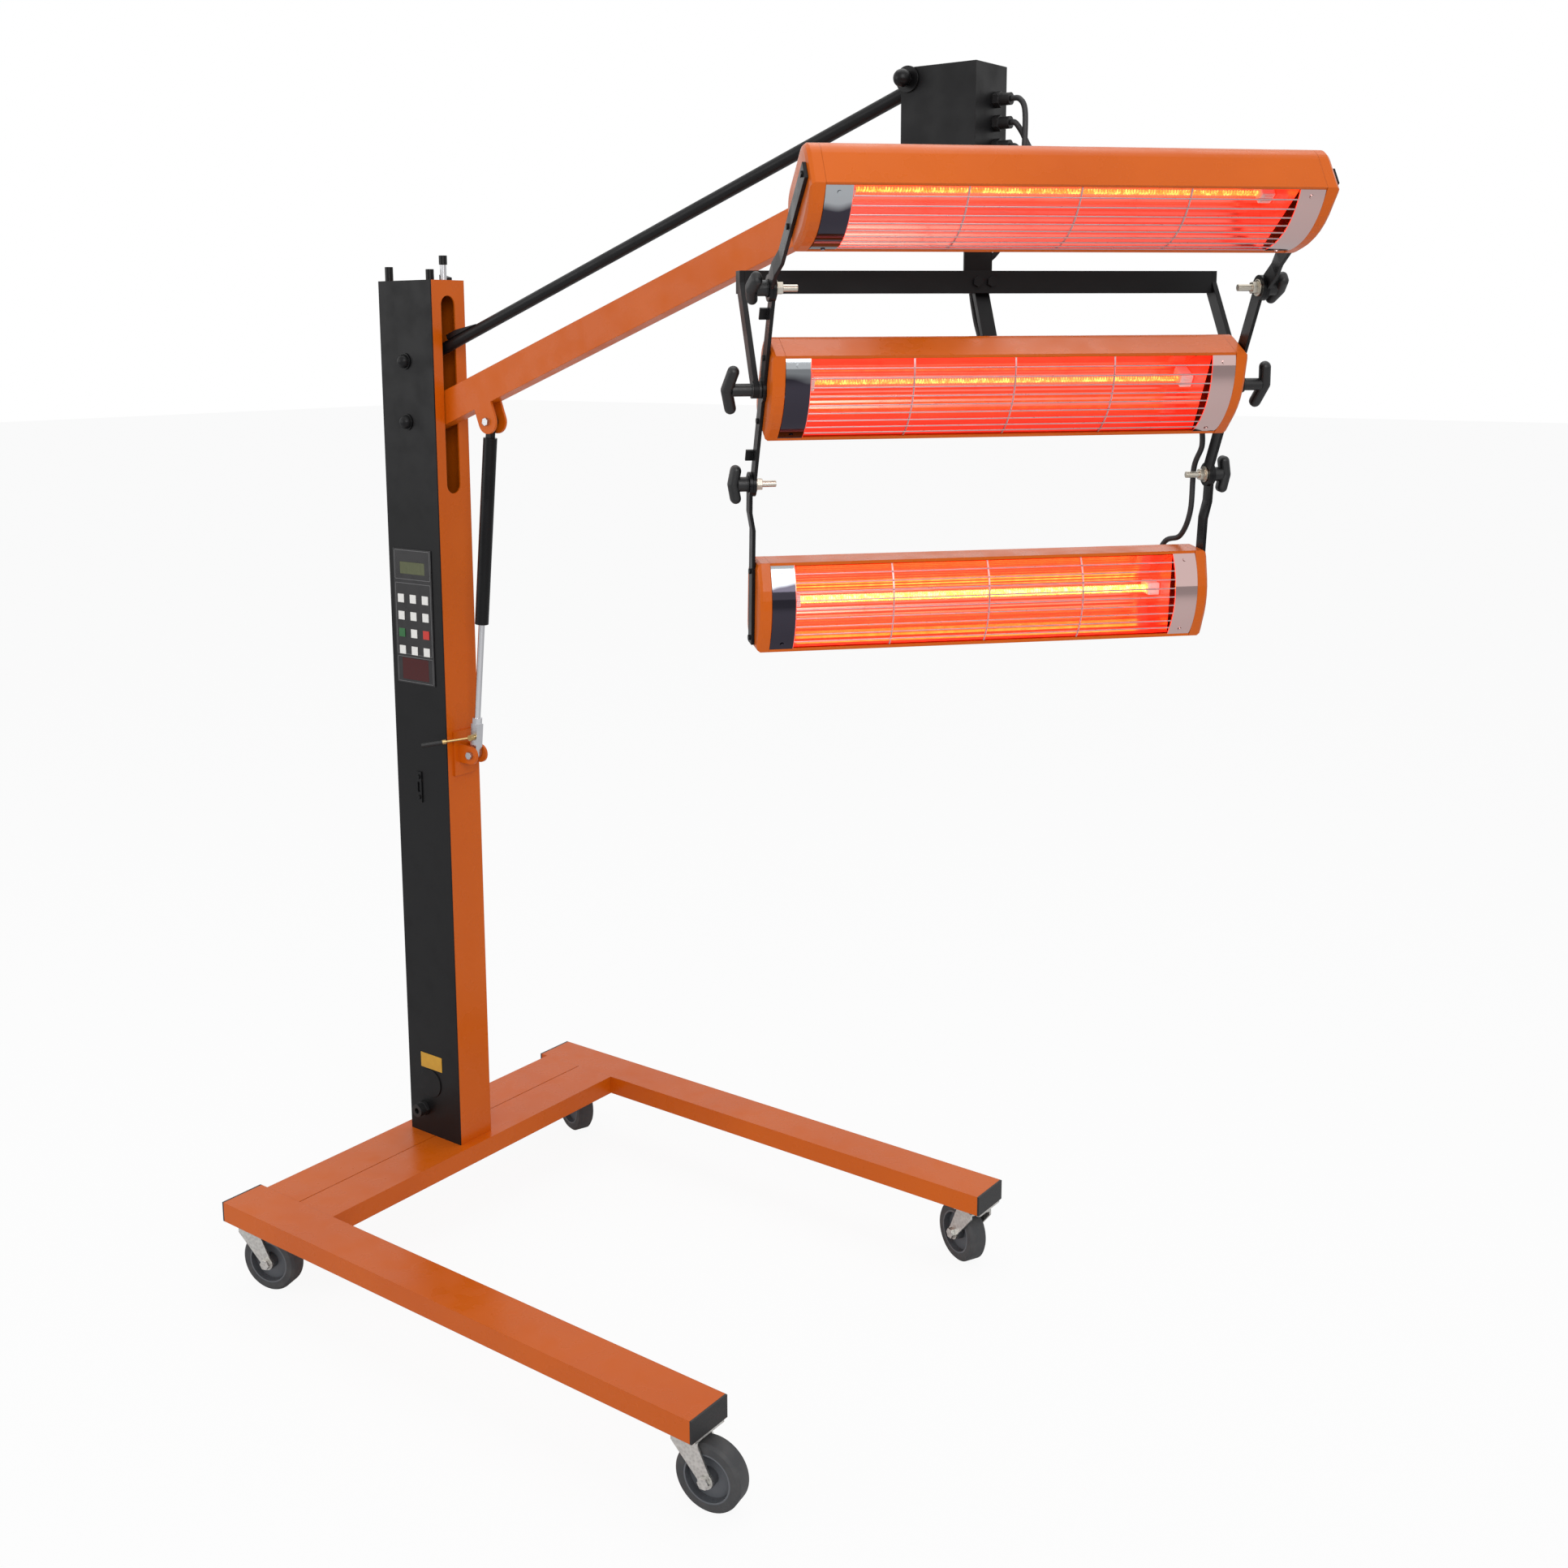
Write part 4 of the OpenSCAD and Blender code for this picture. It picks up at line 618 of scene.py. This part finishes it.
def heater(lamp, strength, colour, spots, coil_r, wire_r):
    placing, body = LAMPS[lamp]
    half = MOUTH_HALF - HOLDER_L - END_GAP
    turns_per_mm = 0.3
    count = int(2 * half * turns_per_mm * 10)
    points = []
    for i in range(count + 1):
        t = i / count
        angle = 2 * math.pi * turns_per_mm * 2 * half * t
        points.append((QUARTZ_N + coil_r * math.cos(angle), -half + 2 * half * t, coil_r * math.sin(angle)))
    bm = bmesh.new()
    tube_along(bm, points, wire_r, 5)
    glow = glow_metal(lamp + "_glow", colour, spots, strength)
    piece(lamp + "_wire", bm, glow, body, placing)

    bm = bmesh.new()
    tube_along(bm, [(QUARTZ_N, -half, 0), (QUARTZ_N, 0, 0), (QUARTZ_N, half, 0)], QUARTZ_R - 0.2, 24)
    clear = quartz_glass(lamp + "_glass", (1.0, 0.45, 0.35))
    glass = piece(lamp + "_quartz", bm, clear, body, placing)
    glass.visible_shadow = False

    bm = bmesh.new()
    for side in (-1, 1):
        inner, outer = sorted((side * (MOUTH_HALF - HOLDER_L), side * (MOUTH_HALF - END_GAP)))
        rounded_box(bm, (-33, inner, -8), (-8, outer, 8), 1.6)
        for k in (-1, 1):
            rounded_box(bm, (-8.5, inner + 3, k * 4 - 1.6), (-6.9, outer - 3, k * 4 + 1.6), 0.5, 2)
    blocks = piece(lamp + "_ceramic", bm, CERAMIC, body, placing, smooth=False)
    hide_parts(lamp + "_heater")


heater("top", 3.0, (1.0, 0.17, 0.012), (1.0, 0.36, 0.06), 2.0, 1.1)
heater("mid", 3.0, (1.0, 0.17, 0.012), (1.0, 0.36, 0.06), 2.0, 1.1)
heater("bottom", 6.5, (1.0, 0.45, 0.03), (1.0, 0.62, 0.12), 3.3, 1.3)


# Leads: a stretch on one body rides on it, and a stretch across a joint stays fixed in place

MID_ROUTE = [
    (25, 36, 68), (33, 43, 67), (42, 47, 54), (47, 46, 20), (46, 44, -30), (40, 42, -70), (20, 33, -100),
    (8, 24, -117), (2, 10, -134), (5, 4, -168), (16, 4, -182), (33, 4, -203), (46, 8, -224), (58, 22, -240),
    (65, 40, -246), (66, 90, -248), (60, 150, -247), (50, 204, -248), (42, 231, -253), (46, 242, -262),
    (56.8, 242, -267.6)]
TOP_ROUTE = [
    (25, 36, 40), (29, 40, 39), (33, 47, 28), (38, 56, 8), (50, 70, -14), (68, 88, -34), (100, 120, -56),
    (140, 152, -66), (175, 180, -66), (205, 206, -60), (224, 228, -44), (232, 240, -30), (242, 242, -26),
    (251.7, 242, -40.4)]
BOTTOM_ROUTE = [
    (25, 36, 12), (31, 41, 10), (35, 44, -4), (35, 43, -34), (28, 38, -70), (9, 28, -96), (-4, 16, -116),
    (-5, 1, -138), (1, -4, -156), (5, -4, -168), (13, -4, -184), (29, -4, -208), (41, 2, -234),
    (54, 20, -254), (60, 40, -262), (55, 100, -276), (53, 190, -280), (50, 250, -303), (60, 278, -322),
    (59, 286, -354), (42, 284, -385), (36, 284, -441), (22, 278, -474), (2, 266, -484), (-13, 256, -517),
    (-33, 246, -543), (-28, 242, -555), (-16.6, 242, -556.5)]
MID_ENDS = (0, 9, 14, 20)
TOP_ENDS = (0, 5, 8, 13)
BOTTOM_ENDS = (0, 9, 14, 27)
STEPS = 8
LEAD_R = 3.5


def stretch(name, route, ends, k, node, bodies, start=None, end=None):
    """One stretch of a lead, riding on one body, or fixed in place when it lies between two."""
    bm = bmesh.new()
    whole = curve_points(route, STEPS)
    tube_along(bm, whole[ends[k] * STEPS:ends[k + 1] * STEPS + 1], LEAD_R, 14)
    made = piece(name, bm, CABLE, None if len(bodies) == 2 else bodies[0], yoke_frame)
    if len(bodies) == 2:
        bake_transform(made)
    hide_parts(node)


LEADS = {"mid": (MID_ROUTE, MID_ENDS), "top": (TOP_ROUTE, TOP_ENDS), "bottom": (BOTTOM_ROUTE, BOTTOM_ENDS)}
BOTTOM_CLIP = (42, 284, -365)
BOTTOM_LOOP = (36, 284, -436)

for lamp, (route, ends) in LEADS.items():
    stretch(lamp + "_lead_from_head", route, ends, 0, "head_leads", ("head", "yoke"))
    stretch(lamp + "_lead_on_yoke", route, ends, 1, "yoke_leads", ("yoke", "lamp_set"))
stretch("mid_lamp_lead", MID_ROUTE, MID_ENDS, 2, "mid_lead", ("lamp_set",))
stretch("top_lamp_lead", TOP_ROUTE, TOP_ENDS, 2, "top_lead", ("lamp_set", "top_lamp"))
stretch("bottom_lamp_lead", BOTTOM_ROUTE, BOTTOM_ENDS, 2, "bottom_lead", ("lamp_set", "bottom_lamp"),
        BOTTOM_CLIP, BOTTOM_LOOP)


# Small trim on the control side

def control_trim():
    """Thin pale frame lines on the membrane, with no words."""
    bm = bmesh.new()
    face = MAST_FACE_Y - 1.6
    line = 0.7
    frames = [(-46, 1104, 37, 1152), (-46, 980, 37, 1098), (-46, 934, 37, 976)]
    for x0, z0, x1, z1 in frames:
        for a, b in (((x0, z0), (x1, z0 + line)), ((x0, z1 - line), (x1, z1)),
                     ((x0, z0), (x0 + line, z1)), ((x1 - line, z0), (x1, z1))):
            rounded_box(bm, (a[0], face - 0.12, a[1]), (b[0], face + 0.2, b[1]), 0.05, 1)
    pale = plastic("line_grey", (0.16, 0.16, 0.165), (0.20, 0.20, 0.20))
    piece("keypad_lines", bm, pale, "root", smooth=False)

    bm = bmesh.new()
    rounded_box(bm, (-30, MAST_FACE_Y - 0.6, 262), (21, MAST_FACE_Y + 0.2, 288), 0.25, 2)
    piece("plain_plate", bm, plain_yellow(), "root", smooth=False)


control_trim()


# Floor, world, lights and camera

FLOOR_SIZE = 60
FLOOR_GLOW = 0.92


def studio():
    bpy.ops.mesh.primitive_plane_add(size=FLOOR_SIZE, location=(0.5, 0, 0))
    floor = bpy.context.object
    floor.name = "floor"
    material = bpy.data.materials.new("floor_white")
    material.use_nodes = True
    tree = material.node_tree
    tree.nodes.clear()
    out = tree.nodes.new("ShaderNodeOutputMaterial")
    path = tree.nodes.new("ShaderNodeLightPath")
    diffuse = tree.nodes.new("ShaderNodeBsdfDiffuse")
    diffuse.inputs["Color"].default_value = (0.8, 0.8, 0.8, 1)
    glow = tree.nodes.new("ShaderNodeEmission")
    glow.inputs["Strength"].default_value = 1.0
    mixer = tree.nodes.new("ShaderNodeMixShader")
    share = tree.nodes.new("ShaderNodeMath")
    share.operation = "MULTIPLY"
    share.inputs[1].default_value = FLOOR_GLOW
    tree.links.new(path.outputs["Is Camera Ray"], share.inputs[0])
    tree.links.new(share.outputs[0], mixer.inputs[0])
    tree.links.new(diffuse.outputs[0], mixer.inputs[1])
    tree.links.new(glow.outputs[0], mixer.inputs[2])
    tree.links.new(mixer.outputs[0], out.inputs["Surface"])
    floor.data.materials.append(material)
    floor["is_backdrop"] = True

    world = bpy.data.worlds.new("studio")
    bpy.context.scene.world = world
    world.use_nodes = True
    tree = world.node_tree
    tree.nodes.clear()
    out = tree.nodes.new("ShaderNodeOutputWorld")
    path = tree.nodes.new("ShaderNodeLightPath")
    soft = tree.nodes.new("ShaderNodeBackground")
    soft.inputs["Color"].default_value = (0.97, 0.98, 1.0, 1)
    soft.inputs["Strength"].default_value = 0.55
    white = tree.nodes.new("ShaderNodeBackground")
    white.inputs["Color"].default_value = (1, 1, 1, 1)
    seen = tree.nodes.new("ShaderNodeMath")
    seen.operation = "MAXIMUM"
    seen_through = tree.nodes.new("ShaderNodeMath")
    seen_through.operation = "MAXIMUM"
    tree.links.new(path.outputs["Is Camera Ray"], seen.inputs[0])
    tree.links.new(path.outputs["Is Glossy Ray"], seen.inputs[1])
    tree.links.new(seen.outputs[0], seen_through.inputs[0])
    tree.links.new(path.outputs["Is Transmission Ray"], seen_through.inputs[1])
    mixer = tree.nodes.new("ShaderNodeMixShader")
    tree.links.new(seen_through.outputs[0], mixer.inputs[0])
    tree.links.new(soft.outputs[0], mixer.inputs[1])
    tree.links.new(white.outputs[0], mixer.inputs[2])
    tree.links.new(mixer.outputs[0], out.inputs["Surface"])


def area_light(name, place, target, size, power):
    data = bpy.data.lights.new(name, "AREA")
    data.shape = "RECTANGLE"
    data.size = size[0]
    data.size_y = size[1]
    data.energy = power
    made = bpy.data.objects.new(name, data)
    bpy.context.scene.collection.objects.link(made)
    made.location = place
    made.rotation_euler = (Vector(target) - Vector(place)).to_track_quat("-Z", "Y").to_euler()


studio()
area_light("key", (3.2, -2.4, 2.8), (0.4, 0, 0.8), (2.2, 2.2), 62)
area_light("fill", (-2.0, -3.2, 1.8), (0.3, 0, 0.9), (2.4, 2.0), 28)
area_light("top", (0.4, 0.6, 4.2), (0.4, 0, 0.6), (3.0, 3.0), 40)

camera_data = bpy.data.cameras.new("camera")
camera_data.sensor_width = 36
camera_data.lens = 40.10
camera_data.shift_x = 0.0267
camera_data.shift_y = -0.0942
camera = bpy.data.objects.new("camera", camera_data)
bpy.context.scene.collection.objects.link(camera)
camera.matrix_world = (Matrix.Translation((2.12541, -1.950, 1.48713))
                       @ Matrix.Rotation(math.radians(37.31), 4, "Z")
                       @ Matrix.Rotation(math.radians(90 - 9.67), 4, "X")
                       @ Matrix.Rotation(math.radians(-0.36), 4, "Z"))
bpy.context.scene.camera = camera
bpy.context.scene.view_settings.view_transform = "Standard"

low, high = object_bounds()
